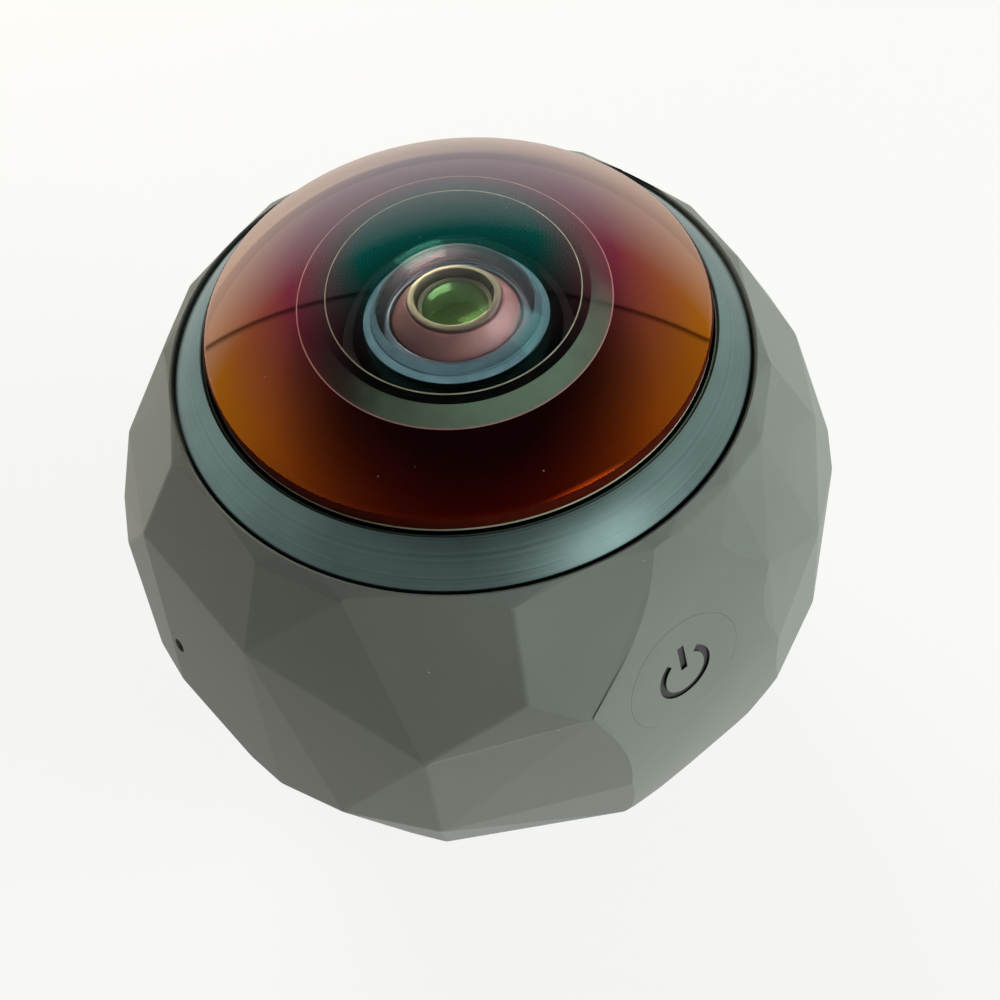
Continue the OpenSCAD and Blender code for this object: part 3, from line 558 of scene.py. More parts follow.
# The hollow side of the dome: a faint teal left over head on, rose edge on
HOLLOW_GLASS = CoatedGlass("coated_hollow_glass", ior=1.52, coats=(
    (0.0, ((0.0, "#040f0d"), (0.5, "#0f2b27"), (1.0, "#906a60"))),))
# Pale satin band on the dome's ground edge: ground glass, lightened into a painted highlight of the edge
# catching light
GROUND_EDGE_HIGHLIGHT = MouldedPolymer("ground_edge_painted_highlight", "#b3ae92", "#c8c3a6", roughness=0.5, grain=0.08)
# Cream line at the hollow's edge: a painted highlight where the polished edge catches light
CREAM_EDGE_HIGHLIGHT = MouldedPolymer("cream_edge_painted_highlight", "#7d7a66", "#94917b", roughness=0.5, ior=1.02, grain=0.08)
# Pink line at the mouth of the dome's flat: a painted highlight where the polished edge catches light
PINK_EDGE_HIGHLIGHT = MouldedPolymer("pink_edge_painted_highlight", "#8c5a58", "#9c6a66", roughness=0.3, grain=0.08)
# Dark paint round the dome's rim, tinted with the coating's red as a painted reflection
RIM_PAINTED_REFLECTION = MouldedPolymer("rim_red_painted_reflection", "#3c0e06", "#481408", roughness=0.5, ior=1.1, grain=0.1)
# Black lens-edge paint: hardly any light comes back from it
BLACK_PAINT = MouldedPolymer("lens_edge_paint", "#060606", "#0b0b0b", roughness=0.6, ior=1.02, grain=0.1)
# Lanthanum glass with a mauve coating that hazes towards the glass's edge
ELEMENT_GLASS = CoatedGlass("coated_lanthanum_glass", ior=1.75, haze=0.3, coats=(
    (0.0, ((0.0, "#201216"), (0.35, "#2a1b20"), (0.55, "#584d53"), (0.8, "#a39aa1"), (1.0, "#f4ecf2"))),))
# Small inner glass with a strong green coating
GREEN_GLASS = CoatedGlass("green_coated_glass", ior=1.6, haze=0.16, coats=(
    (0.0, ((0.0, "#2d471b"), (0.4, "#2d442d"), (1.0, "#6c8c6c"))),))
# Screen-printed mask under the dome: black with a red cast
PRINT = MouldedPolymer("screen_print_ink", "#080203", "#120304", roughness=0.6, ior=1.02, grain=0.3)
# Black anodised barrel: deep matt black
BARREL = TurnedMetal("black_anodised_aluminium", "#0b0c0d", "#131415", roughness=0.45, line=0.3)
# Grey-green light-trap paint, darkened to black on the side that gets little light in the photograph
LIGHT_TRAP = GradedPaint("light_trap_paint", (
    (0.4, "#040404"), (0.66, "#232522"), (0.82, "#465145"), (1.0, "#586755")))
# Moulded black polycarbonate: matt, with a fine grain that swallows light
BAFFLE = MouldedPolymer("black_polycarbonate", "#090a09", "#111211", roughness=0.75, grain=0.12)
# Anodised aluminium: a cool blue-grey with turned lines
RETAINER = TurnedMetal("blue_anodised_aluminium", "#647680", "#73868f", roughness=0.35, line=0.25)
# Paint on the seat of the second glass: an even, dull blue-grey
SEAT_PAINT = MouldedPolymer("blue_seat_paint", "#56707a", "#637f88", roughness=0.5, ior=1.02, grain=0.1)
# Lacquer inside the cone: red-brown and half glossy
FUNNEL = MouldedPolymer("inner_lacquer", "#6e4a44", "#80564e", roughness=0.45, grain=0.2)
# Nickel silver cell: a pale cream metal
CELL = TurnedMetal("nickel_silver", "#98927a", "#aaa48a", roughness=0.5, line=0.2)
# Blackened steel: nearly black, with a dull gloss
STOP = PlainMetal("blackened_steel", "#101112", "#1a1b1c", roughness=0.45)
# Bare silicon: dark, glossy, with a fine grid
SENSOR = OpticDie()
# Glass-epoxy laminate: glossy green over paler tracks
BOARD = CircuitLaminate()
# Polyimide film: translucent amber, drawn as its even orange
FLEX = MouldedPolymer("polyimide_film", "#9a5f1c", "#b5782c", roughness=0.3, grain=0.6)
# Liquid crystal polymer: matt cream
CONNECTOR = MouldedPolymer("liquid_crystal_polymer", "#cfc8b4", "#ddd7c6", roughness=0.5)
# Tinned steel can: bright grey with cloudy handling marks
SHIELD = PlainMetal("tinned_steel", "#9a9fa3", "#b9bec2", roughness=0.3)
# Filled epoxy chip body: charcoal with a fine moulded grain
CHIP = MouldedPolymer("filled_epoxy", "#17171a", "#222226", roughness=0.5, grain=0.12)
# Zinc-plated steel: bright, slightly blue metal
SCREW = PlainMetal("zinc_plated_steel", "#a4a9ad", "#c6cbce", roughness=0.25, cloud=0.5)
# Glass-filled nylon: dark grey with a coarse, dull grain
CHASSIS = MouldedPolymer("glass_filled_nylon", "#26282a", "#333638", roughness=0.6, grain=0.4)
# Open-cell foam: dark grey, deeply pitted and without gloss
FOAM = MouldedPolymer("polyurethane_foam", "#2f3237", "#454950", roughness=0.9, grain=0.5, grain_depth=0.15)
# Aluminium laminate pouch: pale metal with broad soft clouds
POUCH = PlainMetal("aluminium_laminate", "#aeb2b6", "#cfd3d6", roughness=0.35, cloud=5.0)
# Textured ABS: dark grey with a spark-eroded grain
BASE = MouldedPolymer("textured_abs", "#232426", "#2e3032", roughness=0.6, grain=0.35, grain_depth=0.03)
# Free-cutting brass: warm yellow with turned lines
BRASS = TurnedMetal("free_cutting_brass", "#b08d45", "#cba95e", roughness=0.25, line=0.2)
# Gold-plated contact: bright deep yellow
GOLD = PlainMetal("gold_plate", "#c79a3c", "#e0b95e", roughness=0.2, cloud=0.6)
# Black oxide screw: dark steel with a low gloss
DARK_SCREW = PlainMetal("black_oxide_steel", "#1c1d1f", "#2c2e31", roughness=0.35, cloud=0.5)
# Pad-printed ink in the engraved mark: black, with a slight gloss
INK = MouldedPolymer("pad_print_ink", "#070707", "#0e0e0e", roughness=0.4, grain=0.1)

# Finish of each solid that keeps its own mesh
SOLID_FINISHES: dict[str, Finish] = {
    "bezel_gasket": RUBBER, "dome_mask": PRINT, "dome_seal": RUBBER, "lens_barrel": BARREL,
    "flange_screws": SCREW, "baffle_ring": BAFFLE, "fourth_element": ELEMENT_GLASS, "aperture_stop": STOP,
    "rear_element": ELEMENT_GLASS, "rear_retainer": BARREL, "infrared_filter": ELEMENT_GLASS,
    "image_sensor": SENSOR, "sensor_board": BOARD, "sensor_screws": SCREW, "sensor_flex": FLEX,
    "flex_connectors": CONNECTOR, "main_board": BOARD, "processor_shield": SHIELD, "memory_chip": CHIP,
    "wireless_module": SHIELD, "board_screws": SCREW, "chassis": CHASSIS, "chassis_screws": SCREW,
    "battery_pad": FOAM, "battery": POUCH, "motor_case": SHIELD, "motor_shaft": SCREW,
    "motor_rotor": STOP, "button_seal": RUBBER, "switch_plunger": CONNECTOR, "tact_switch": CHIP,
    "button_board": BOARD, "button_screws": SCREW, "microphone": STOP, "mic_gasket": RUBBER,
    "mic_board": FLEX, "base_plate": BASE, "base_seal": RUBBER, "charging_contacts": GOLD,
    "charge_board": BOARD, "base_screws": DARK_SCREW}


def arc(centre_z: float, radius: float, start: float, end: float, steps: int) -> list[tuple[float, float]]:
    """Return points of a circle that is centred on the axis.

    Args:
        centre_z: Height of the circle's centre.
        radius: Radius of the circle.
        start: Distance from the axis at the first point.
        end: Distance from the axis at the last point.
        steps: Number of steps between them.

    Returns:
        Points as distance from the axis and height, in millimetres.
    """
    first = math.asin(start / radius)
    last = math.asin(end / radius)
    turns = [first + (last - first) * i / steps for i in range(steps + 1)]
    return [(radius * math.sin(t), centre_z + radius * math.cos(t)) for t in turns]


def spun(outline: Outline, steps: int = 192, closed: bool = True) -> bmesh.types.BMesh:
    """Spin an outline round the vertical axis into a closed solid.

    Args:
        outline: Distances from the axis and heights, in millimetres.
        steps: Number of steps in the full turn.
        closed: Whether the outline's last point joins its first, as on a ring.

    Returns:
        The solid, in metres, with its faces pointing outwards.
    """
    mesh = bmesh.new()
    points = [mesh.verts.new((r * MM, 0.0, z * MM)) for r, z in outline]
    ends = points[1:] + points[:1] if closed else points[1:]
    edges = [mesh.edges.new(pair) for pair in zip(points, ends)]
    bmesh.ops.spin(mesh, geom=points + edges, cent=(0, 0, 0), axis=AXIS, angle=math.tau, steps=steps,
                   use_merge=True, use_duplicate=False)
    bmesh.ops.remove_doubles(mesh, verts=mesh.verts, dist=SEAM * MM)
    bmesh.ops.recalc_face_normals(mesh, faces=mesh.faces)
    return mesh


def soften(mesh: bmesh.types.BMesh, width: float, sharper_than: float = 30.0, segments: int = 2) -> None:
    """Round the sharp edges of a solid.

    Args:
        mesh: Solid to change.
        width: Width of the rounding, in millimetres.
        sharper_than: Least angle between two faces, in degrees, at which their edge is rounded.
        segments: Number of faces across the rounding.
    """
    limit = math.radians(sharper_than)
    edges = [e for e in mesh.edges if e.is_manifold and e.calc_face_angle() > limit]
    bmesh.ops.bevel(mesh, geom=edges, offset=width * MM, offset_type="OFFSET", affect="EDGES",
                    segments=segments, profile=0.5, material=-1, clamp_overlap=True)


def merged_copy(node: str, distance: float = 0.002) -> bmesh.types.BMesh:
    """Return a copy of a solid's mesh with its loose triangles joined.

    Args:
        node: Name of the solid.
        distance: Points nearer than this many millimetres become one.

    Returns:
        The joined mesh.
    """
    mesh = bmesh.new()
    mesh.from_mesh(frame["nodes"][node].data)
    bmesh.ops.remove_doubles(mesh, verts=mesh.verts, dist=distance * MM)
    return mesh


def place_piece(mesh: bmesh.types.BMesh, name: str, finishes: Sequence[Finish], body: Body,
                nodes: Sequence[str], crease: float | None = 30.0) -> None:
    """Turn a mesh into a dressed piece that rides on a body.

    Args:
        mesh: Mesh of the piece, which is freed.
        name: Name of the piece.
        finishes: Finishes, in the order of the faces' material numbers.
        body: Body that carries it.
        nodes: Solids that it stands for.
        crease: Least angle of an edge that shades as a crease, or None where the mesh marks its own.
    """
    data = bpy.data.meshes.new(name)
    mesh.to_mesh(data)
    mesh.free()
    if crease is not None:
        data.shade_smooth()
        data.set_sharp_from_angle(angle=math.radians(crease))
    for finish in finishes:
        data.materials.append(finish.material())
    piece = bpy.data.objects.new(name, data)
    bpy.context.scene.collection.objects.link(piece)
    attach(piece, body.value)
    if nodes:
        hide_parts(*nodes)
    LOG.info("%s: %d faces on %s", name, len(data.polygons), body.value)


def reach(node: str) -> tuple[float, float, float]:
    """Return a round solid's radius and its lowest and highest height, in millimetres."""
    low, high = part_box(node)
    return high.x / MM, low.z / MM, high.z / MM


def compass(azimuth: float, elevation: float) -> Vector:
    """Point a unit vector.

    Args:
        azimuth: Angle round the vertical axis from the front, in degrees.
        elevation: Angle above the horizon, in degrees.

    Returns:
        The unit vector.
    """
    az = math.radians(azimuth)
    el = math.radians(elevation)
    return Vector((math.sin(az) * math.cos(el), -math.cos(az) * math.cos(el), math.sin(el)))


def ball_centre() -> Vector:
    """Return the middle of the ball, which the dome's outside is round, in metres."""
    return AXIS * (reach("front_dome")[2] - Dome.curve) * MM


@dataclass
class FacetedShell:
    """The ball's shell: flat facets with softened edges, and one crowned facet at the front."""

    # Depth under the ball's widest reach down to which an edge is on its outside
    outer_depth: float = 2.4
    # Width of the rounding along an edge between two facets
    edge: float = 0.16
    # Least turn of an edge that is rounded, in degrees, and least area of the facets beside it
    least_turn: float = 5.5
    least_area: float = 2.0
    # Largest sideways part of a normal on the crowned facet
    round_turn: float = 0.02
    # Points nearer than this many millimetres become one
    merge: float = 0.03
    # Triangles that turn less than this, in degrees, are one facet
    flat_turn: float = 0.4
    # Edges that turn less than this, in degrees, shade smooth
    level_turn: float = 1.0
    # Middle of a fold that shows as one flat facet, as azimuth from the front and elevation, and the angle
    # that it reaches from there
    soft_fold: tuple[float, float] = (-81.0, 15.5)
    soft_reach: float = 5.0

    def is_crowned(self, face: bmesh.types.BMFace) -> bool:
        """Return whether a face is part of the crowned facet."""
        return abs(face.normal.x) < self.round_turn and face.normal.y < 0

    def is_soft(self, edge: bmesh.types.BMEdge, centre: Vector) -> bool:
        """Return whether an edge lies inside the facet that shows no fold."""
        middle = (edge.verts[0].co + edge.verts[1].co) / 2 - centre
        return middle.angle(compass(*self.soft_fold)) < math.radians(self.soft_reach)

    def facet_edges(self, mesh: bmesh.types.BMesh, centre: Vector) -> list[bmesh.types.BMEdge]:
        """Return the edges between two flat facets of the ball's outside.

        Args:
            mesh: Mesh of the shell.
            centre: Middle of the ball, in metres.

        Returns:
            The edges to soften.
        """
        low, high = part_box("faceted_shell")
        inner = (high.x - low.x) / 2 - self.outer_depth * MM
        found = []
        for edge in mesh.edges:
            if len(edge.link_faces) != 2 or edge.calc_face_angle() < math.radians(self.least_turn):
                continue
            if min((v.co - centre).length for v in edge.verts) < inner or self.is_soft(edge, centre):
                continue
            if min(f.calc_area() for f in edge.link_faces) < self.least_area * MM * MM:
                continue
            if any(self.is_crowned(f) for f in edge.link_faces):
                continue
            found.append(edge)
        return found

    def build(self) -> None:
        """Join the shell's triangles into facets, soften the facets' edges and dress the piece."""
        centre = ball_centre()
        mesh = merged_copy("faceted_shell", self.merge)
        bmesh.ops.dissolve_limit(mesh, angle_limit=math.radians(self.flat_turn), verts=mesh.verts,
                                 edges=mesh.edges)
        bmesh.ops.bevel(mesh, geom=self.facet_edges(mesh, centre), offset=self.edge * MM,
                        offset_type="OFFSET", affect="EDGES", segments=2, profile=0.5, material=-1,
                        clamp_overlap=False)
        for face in mesh.faces:
            face.smooth = True
        for edge in mesh.edges:
            crowned = all(self.is_crowned(f) for f in edge.link_faces)
            level = edge.calc_face_angle(0.0) < math.radians(self.level_turn)
            edge.smooth = crowned or level or self.is_soft(edge, centre)
        place_piece(mesh, "shell_skin", [SHELL], Body.CAMERA, ["faceted_shell"], None)


@dataclass
class Bezel:
    """The turned ring round the dome: a cone with a chamfered lip at its inner edge."""

    # Gap round the dome's edge
    gap: float = 0.22
    # Drop of the cone from its lip to the shell's rim
    shell_rim_drop: float = 2.3
    # Width of the chamfered lip, and how far it drops towards the dome
    lip: float = 0.3
    lip_drop: float = 0.17
    chamfer: float = 0.12
    edge: float = 0.05
    edge_turn: float = 15.0
    steps: int = 256

    def build(self) -> None:
        """Spin the ring and round its edges."""
        outer, low, high = reach("bezel_ring")
        inner = reach("front_dome")[0] + self.gap
        rim = high - self.shell_rim_drop
        mesh = spun([(inner, low), (outer, low), (outer, rim - self.chamfer), (outer - self.chamfer, rim),
                     (inner + self.lip, high), (inner, high - self.lip_drop)], self.steps)
        soften(mesh, self.edge, self.edge_turn)
        place_piece(mesh, "bezel_turned", [BEZEL], Body.CAMERA, ["bezel_ring"])


@dataclass
class Dome:
    """The glass dome: a ball-curved outside with a painted reflection on its rim, a printed flat, a painted
    bevel with painted highlight lines at both ends, and a polished hollow.
    """

    # Radius of the ball that the outside is part of
    curve: float = 30.3
    # Height of the hollow's top, and the radius at its edge
    hollow_top: float = 53.36
    hollow_edge: float = 8.2
    # Width of the painted highlight lines at both ends of the bevel
    line: float = 0.07
    # Radius at which the bevel's black paint ends
    black_end: float = 8.8
    # Radius at which the bevel meets the flat, and how far it rises from there
    mouth: float = 10.2
    bevel_rise: float = 1.05
    # Width of the ground chamfer round the edge
    ground: float = 0.14
    # Painted highlight line round the edge: its depth under the chamfer, and its width
    highlight_drop: float = 0.8
    highlight_width: float = 0.2
    seat_gap: float = 0.02
    steps: int = 224
    outside_steps: int = 56
    hollow_steps: int = 40
    crease: float = 20.0

    def bands(self) -> list[tuple[float, Finish]]:
        """Return the radius at which each finish of the underside ends, from the axis outwards."""
        # The cream and pink lines are painted highlights, and the light trap's grading is painted shade
        return [(self.hollow_edge, HOLLOW_GLASS), (self.hollow_edge + self.line, CREAM_EDGE_HIGHLIGHT),
                (self.black_end, BLACK_PAINT), (self.mouth - self.line, LIGHT_TRAP), (self.mouth, PINK_EDGE_HIGHLIGHT),
                (math.inf, PRINT)]

    def bevel(self, seat: float, radius: float) -> tuple[float, float]:
        """Return the bevel's point at a radius."""
        share = (self.mouth - radius) / (self.mouth - self.hollow_edge)
        return radius, seat + share * self.bevel_rise

    def build(self) -> None:
        """Spin the dome and give its sides their own finishes."""
        edge, low, high = reach("front_dome")
        seat = low + self.seat_gap
        outside = arc(high - self.curve, self.curve, 0.0, edge - self.ground, self.outside_steps)
        rim = outside[-1][1] - self.ground
        pale = rim - self.highlight_drop
        wall = [(edge, rim), (edge, pale), (edge, pale - self.highlight_width), (edge, seat)]
        radii = [self.mouth, self.mouth - self.line, self.black_end, self.hollow_edge + self.line]
        top = self.bevel(seat, self.hollow_edge)
        rise = self.hollow_top - top[1]
        hollow = (self.hollow_edge ** 2 + rise ** 2) / (2 * rise)
        inside = arc(self.hollow_top - hollow, hollow, self.hollow_edge, 0.0, self.hollow_steps)
        under = [self.bevel(seat, r) for r in radii]
        mesh = spun(outside + wall + under + inside, self.steps, closed=False)
        bands = self.bands()
        sides: list[Finish] = [DOME_GLASS, RIM_PAINTED_REFLECTION, GROUND_EDGE_HIGHLIGHT, BLACK_PAINT]
        for face in mesh.faces:
            middle = face.calc_center_median() / MM
            radius = math.hypot(middle.x, middle.y)
            # Down the wall: the rim's painted reflection red, then the painted highlight line, then black
            # paint
            if radius > edge - self.ground:
                ends = (pale, pale - self.highlight_width, seat)
                face.material_index = 1 + next(i for i, end in enumerate(ends) if middle.z > end)
            elif face.normal.z < 0:
                band = next(i for i, (end, _) in enumerate(bands) if radius < end)
                face.material_index = len(sides) + band
        finishes = sides + [finish for _, finish in bands]
        place_piece(mesh, "dome_glass", finishes, Body.CAMERA, ["front_dome"], self.crease)


@dataclass
class LensStack:
    """The rings and inner glasses that show through the dome."""

    second_curve: float = 7.6
    second_wall: float = 1.2
    second_edge: float = 0.25
    second_ground: float = 0.06
    neck_gap: float = 0.02
    neck_width: float = 0.55
    neck_rise: float = 0.02
    neck_depth: float = 0.04
    neck_round: float = 0.01
    retainer_width: float = 1.1
    retainer_round: float = 0.12
    funnel_foot: float = 2.0
    funnel_lip: float = 0.2
    funnel_round: float = 0.05
    cell_gap: float = 0.05
    cell_wall: float = 0.5
    cell_shelf: float = 1.05
    cell_round: float = 0.1
    third_curve: float = 6.2
    third_ground: float = 0.05
    seat_gap: float = 0.02
    arc_steps: int = 32
    crease: float = 20.0
    # Least share of a seat's normal that points straight down
    level: float = 0.98

    def ring(self, outline: Outline, edge: float, name: str, finish: Finish,
             node: str | None) -> None:
        """Spin a ring with rounded edges.

        Args:
            outline: Section of the ring.
            edge: Width of its edges' rounding.
            name: Name of the piece.
            finish: Its finish.
            node: Solid that it stands for, or None where it is a band on another.
        """
        mesh = spun(outline)
        soften(mesh, edge)
        place_piece(mesh, name, [finish], Body.CAMERA, [node] if node else [])

    def glass(self, node: str, curve: float, ground: float, wall: float, name: str, finish: Finish) -> None:
        """Spin a crowned glass with a ground edge.

        Args:
            node: Solid that it stands for.
            curve: Radius of its crowned face.
            ground: Width of the ground chamfer at its edge.
            wall: Thickness between its crowned face and a hollow underside, or 0 for a flat one.
            name: Name of the piece.
            finish: Finish of its polished faces.
        """
        edge, low, high = reach(node)
        seat = low + self.seat_gap
        crown = arc(high - curve, curve, 0.0, edge - ground, self.arc_steps)
        under = [(0.0, seat)]
        mouth = edge
        if wall:
            inner = curve - wall
            mouth = math.sqrt(inner ** 2 - (seat - high + curve) ** 2)
            under = arc(high - curve, inner, mouth, 0.0, self.arc_steps)
        mesh = spun(crown + [(edge, crown[-1][1] - ground), (edge, seat)] + under, closed=False)
        for face in mesh.faces:
            middle = face.calc_center_median() / MM
            radius = math.hypot(middle.x, middle.y)
            if wall and radius > (mouth if face.normal.z < -self.level else edge - ground):
                face.material_index = 2
            elif radius > edge - ground:
                face.material_index = 1
        place_piece(mesh, name, [finish, BLACK_PAINT, SEAT_PAINT], Body.CAMERA, [node],
                    self.crease)

    def build(self) -> None:
        """Build the rings and glasses from the outside in."""
        self.glass("second_element", self.second_curve, self.second_ground, self.second_wall, "second_glass",
                   ELEMENT_GLASS)
        edge, low, _ = reach("second_element")
        top = low + self.second_edge + self.neck_rise
        foot = top - self.neck_depth
        inner = edge + self.neck_gap
        outer = inner + self.neck_width
        self.ring([(inner, foot), (outer, foot), (outer, top), (inner, top)], self.neck_round, "neck_band",
                  SEAT_PAINT, None)
        outer, low, high = reach("barrel_retainer")
        inner = outer - self.retainer_width
        self.ring([(inner, low), (outer, low), (outer, high), (inner, high)], self.retainer_round,
                  "retainer_round", RETAINER, "barrel_retainer")
        outer, low, high = reach("funnel_baffle")
        bore = reach("inner_cell")[0] + self.cell_gap
        self.ring([(bore, low), (outer, low), (outer, low + self.funnel_foot), (bore + self.funnel_lip, high),
                   (bore, high)], self.funnel_round, "funnel_cone", FUNNEL, "funnel_baffle")
        outer, low, high = reach("inner_cell")
        inner = outer - self.cell_wall
        shelf = reach("third_element")[1]
        self.ring([(outer - self.cell_shelf, low), (outer, low), (outer, high), (inner, high), (inner, shelf),
                   (outer - self.cell_shelf, shelf)], self.cell_round, "cell_round", CELL,
                  "inner_cell")
        self.glass("third_element", self.third_curve, self.third_ground, 0.0, "third_glass", GREEN_GLASS)


@dataclass
class PressButton:
    """The round button: a disc of the crowned facet with an inked power mark."""

    # Radius of the crowned facet
    crown_curve: float = 46.0
    # Depths between which the mark's faces lie, and their reach from the button's axis
    ink_depth: float = 0.03
    mark_depth: float = 0.5
    mark_reach: float = 3.0
    # Points beyond this radius and above this depth move out, which narrows the gap round the button
    rim: float = 4.75
    rim_depth: float = 0.6
    rim_growth: float = 0.05
    # Largest turn of a face that belongs to the crowned face, in degrees
    face_turn: float = 8.0
    crease: float = 12.0

    def mark_creases(self, mesh: bmesh.types.BMesh, outward: Vector) -> None:
        """Shade the crowned face smooth and apart from the walls, which thin triangles would blend.

        Args:
            mesh: Mesh of the button.
            outward: Way that the button's face points.
        """
        mesh.normal_update()
        least = math.cos(math.radians(self.face_turn))
        for face in mesh.faces:
            face.smooth = True
        for edge in mesh.edges:
            crowned = [f.normal.dot(outward) > least for f in edge.link_faces]
            level = edge.calc_face_angle(0.0) < math.radians(self.crease)
            edge.smooth = all(crowned) or (level and not any(crowned))

    def build(self) -> None:
        """Ink the engraved mark, narrow the gap round the face and dress the rest as the shell."""
        mesh = merged_copy("button_cap")
        press = next(j for j in frame["joints"] if j["child"] == Body.BUTTON.value)
        outward = -Vector(press["axis"]).normalized()
        across = outward.cross(Vector((1, 0, 0)))
        top = max(v.co.dot(outward) for v in mesh.verts)
        low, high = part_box("switch_plunger")
        middle = (low + high) / 2

        def measure(point: Vector) -> tuple[Vector, float]:
            """Return a point's way from the button's axis and its depth under the crowned face."""
            side = (point - middle) - outward * (point - middle).dot(outward)
            return side, top - point.dot(outward) - side.dot(across) ** 2 / (2 * self.crown_curve * MM)

        for face in mesh.faces:
            side, sunk = measure(face.calc_center_median())
            inked = self.ink_depth * MM < sunk < self.mark_depth * MM and side.length < self.mark_reach * MM
            face.material_index = int(inked)
        for vert in mesh.verts:
            side, sunk = measure(vert.co)
            if side.length > self.rim * MM and sunk < self.rim_depth * MM:
                vert.co += side.normalized() * (self.rim_growth * MM)
        self.mark_creases(mesh, outward)
        place_piece(mesh, "button_face", [SHELL, INK], Body.BUTTON, ["button_cap"], None)


@dataclass
class TripodSocket:
    """The brass insert with a coarse camera thread."""

    # Radii of the thread's bore and of its ridge's crest
    bore: float = 3.15
    crest: float = 2.6
    pitch: float = 1.27
    crest_width: float = 0.16
    root_width: float = 0.95
    depth: float = 6.5
    flange_thickness: float = 1.0
    plate_thickness: float = 2.4
    neck_step: float = 0.8
    barrel: float = 5.0
    # Width of the chamfer that leads a screw in
    lead: float = 0.35
    # How far the ridge's root sinks into the bore's wall
    root_sink: float = 0.02
    turn_steps: int = 48

    def build(self) -> None:
        """Spin the insert and wind the thread's ridge inside its bore."""
        flange, low, high = reach("tripod_insert")
        neck = self.barrel - self.neck_step
        flange_low = self.plate_thickness
        flange_high = flange_low + self.flange_thickness
        body = spun([(self.bore + self.lead, low), (self.barrel, low), (self.barrel, flange_low),
                     (flange, flange_low), (flange, flange_high), (neck, flange_high), (neck, high),
                     (0.0, high), (0.0, self.depth), (self.bore, self.depth), (self.bore, low + self.lead)])
        place_piece(body, "insert_turned", [BRASS], Body.CAMERA, ["tripod_insert"])
        ridge = bmesh.new()
        root = self.bore + self.root_sink
        section = [(root, -self.root_width / 2), (self.crest, -self.crest_width / 2),
                   (self.crest, self.crest_width / 2), (root, self.root_width / 2)]
        start = self.lead + self.root_width / 2
        points = [ridge.verts.new((r * MM, 0.0, (start + z) * MM)) for r, z in section]
        face = ridge.faces.new(points)
        turns = (self.depth - start - self.root_width / 2) / self.pitch
        steps = round(self.turn_steps * turns)
        bmesh.ops.spin(ridge, geom=[face], cent=(0, 0, 0), axis=AXIS, angle=math.tau * turns, steps=steps,
                       dvec=AXIS * (self.pitch * turns * MM / steps), use_merge=False, use_duplicate=False)
        bmesh.ops.recalc_face_normals(ridge, faces=ridge.faces)
        place_piece(ridge, "tripod_thread", [BRASS], Body.CAMERA, [])


def ray_kinds(tree: Tree) -> tuple[Socket, Socket]:
    """Tell rays apart by where they come from.

    Args:
        tree: Node tree of the material or the world.

    Returns:
        Outputs that are 1 where a ray comes from the camera, and where a mirror or a glass sent it.
    """
    ray = add(tree, "ShaderNodeLightPath").outputs
    sent = add(tree, "ShaderNodeMath", {0: ray["Is Glossy Ray"], 1: ray["Is Transmission Ray"]},
               operation="MAXIMUM")
    return ray["Is Camera Ray"], sent.outputs[0]


@dataclass(frozen=True)
class SoftLamp:
    """A square soft lamp that points at the object and isn't mirrored in it."""

    name: str
    azimuth: float
    colour: str
    elevation: float = 20.0
    distance: float = 420.0
    size: float = 240.0
    power: float = 1.75

    def hang(self, front: float, centre: Vector) -> None:
        """Hang the lamp.

        Args:
            front: Azimuth of the camera, from which the lamp's own is counted.
            centre: Middle of the ball, in metres.
        """
        data = bpy.data.lights.new(self.name, "AREA")
        data.shape = "SQUARE"
        data.size = self.size * MM
        data.energy = self.power
        data.color = linear(self.colour)[:3]
        lamp = bpy.data.objects.new(self.name, data)
        bpy.context.scene.collection.objects.link(lamp)
        out = compass(front + self.azimuth, self.elevation)
        lamp.location = centre + out * (self.distance * MM)
        lamp.visible_glossy = False
        lamp.rotation_mode = "QUATERNION"
        lamp.rotation_quaternion = (-out).to_track_quat("-Z", "Y")


LAMPS = (SoftLamp("key_lamp", 70.0, "#eefcff"), SoftLamp("back_lamp", -160.0, "#fff8e4"))
# The mirrored room from the horizon, at 0, to straight up: white, then a dark ceiling
CEILING_SHADES: Stops = (
    (0.0, WHITE), (0.55, WHITE), (0.68, "#d0d2d1"), (0.8, "#8c908f"), (0.9, "#404443"), (1.0, "#2c302f"))
# The mirrored room from behind the object, at 0, to behind the camera: a white backdrop, the shadow line at
# its edge, then dimmer walls
WALL_SHADES: Stops = (
    (0.0, WHITE), (0.246, WHITE), (0.254, "#747474"), (0.266, "#eeeeee"), (0.5, "#eaeaea"), (0.8, "#a4a4a4"),
    (1.0, "#8c8c8c"))


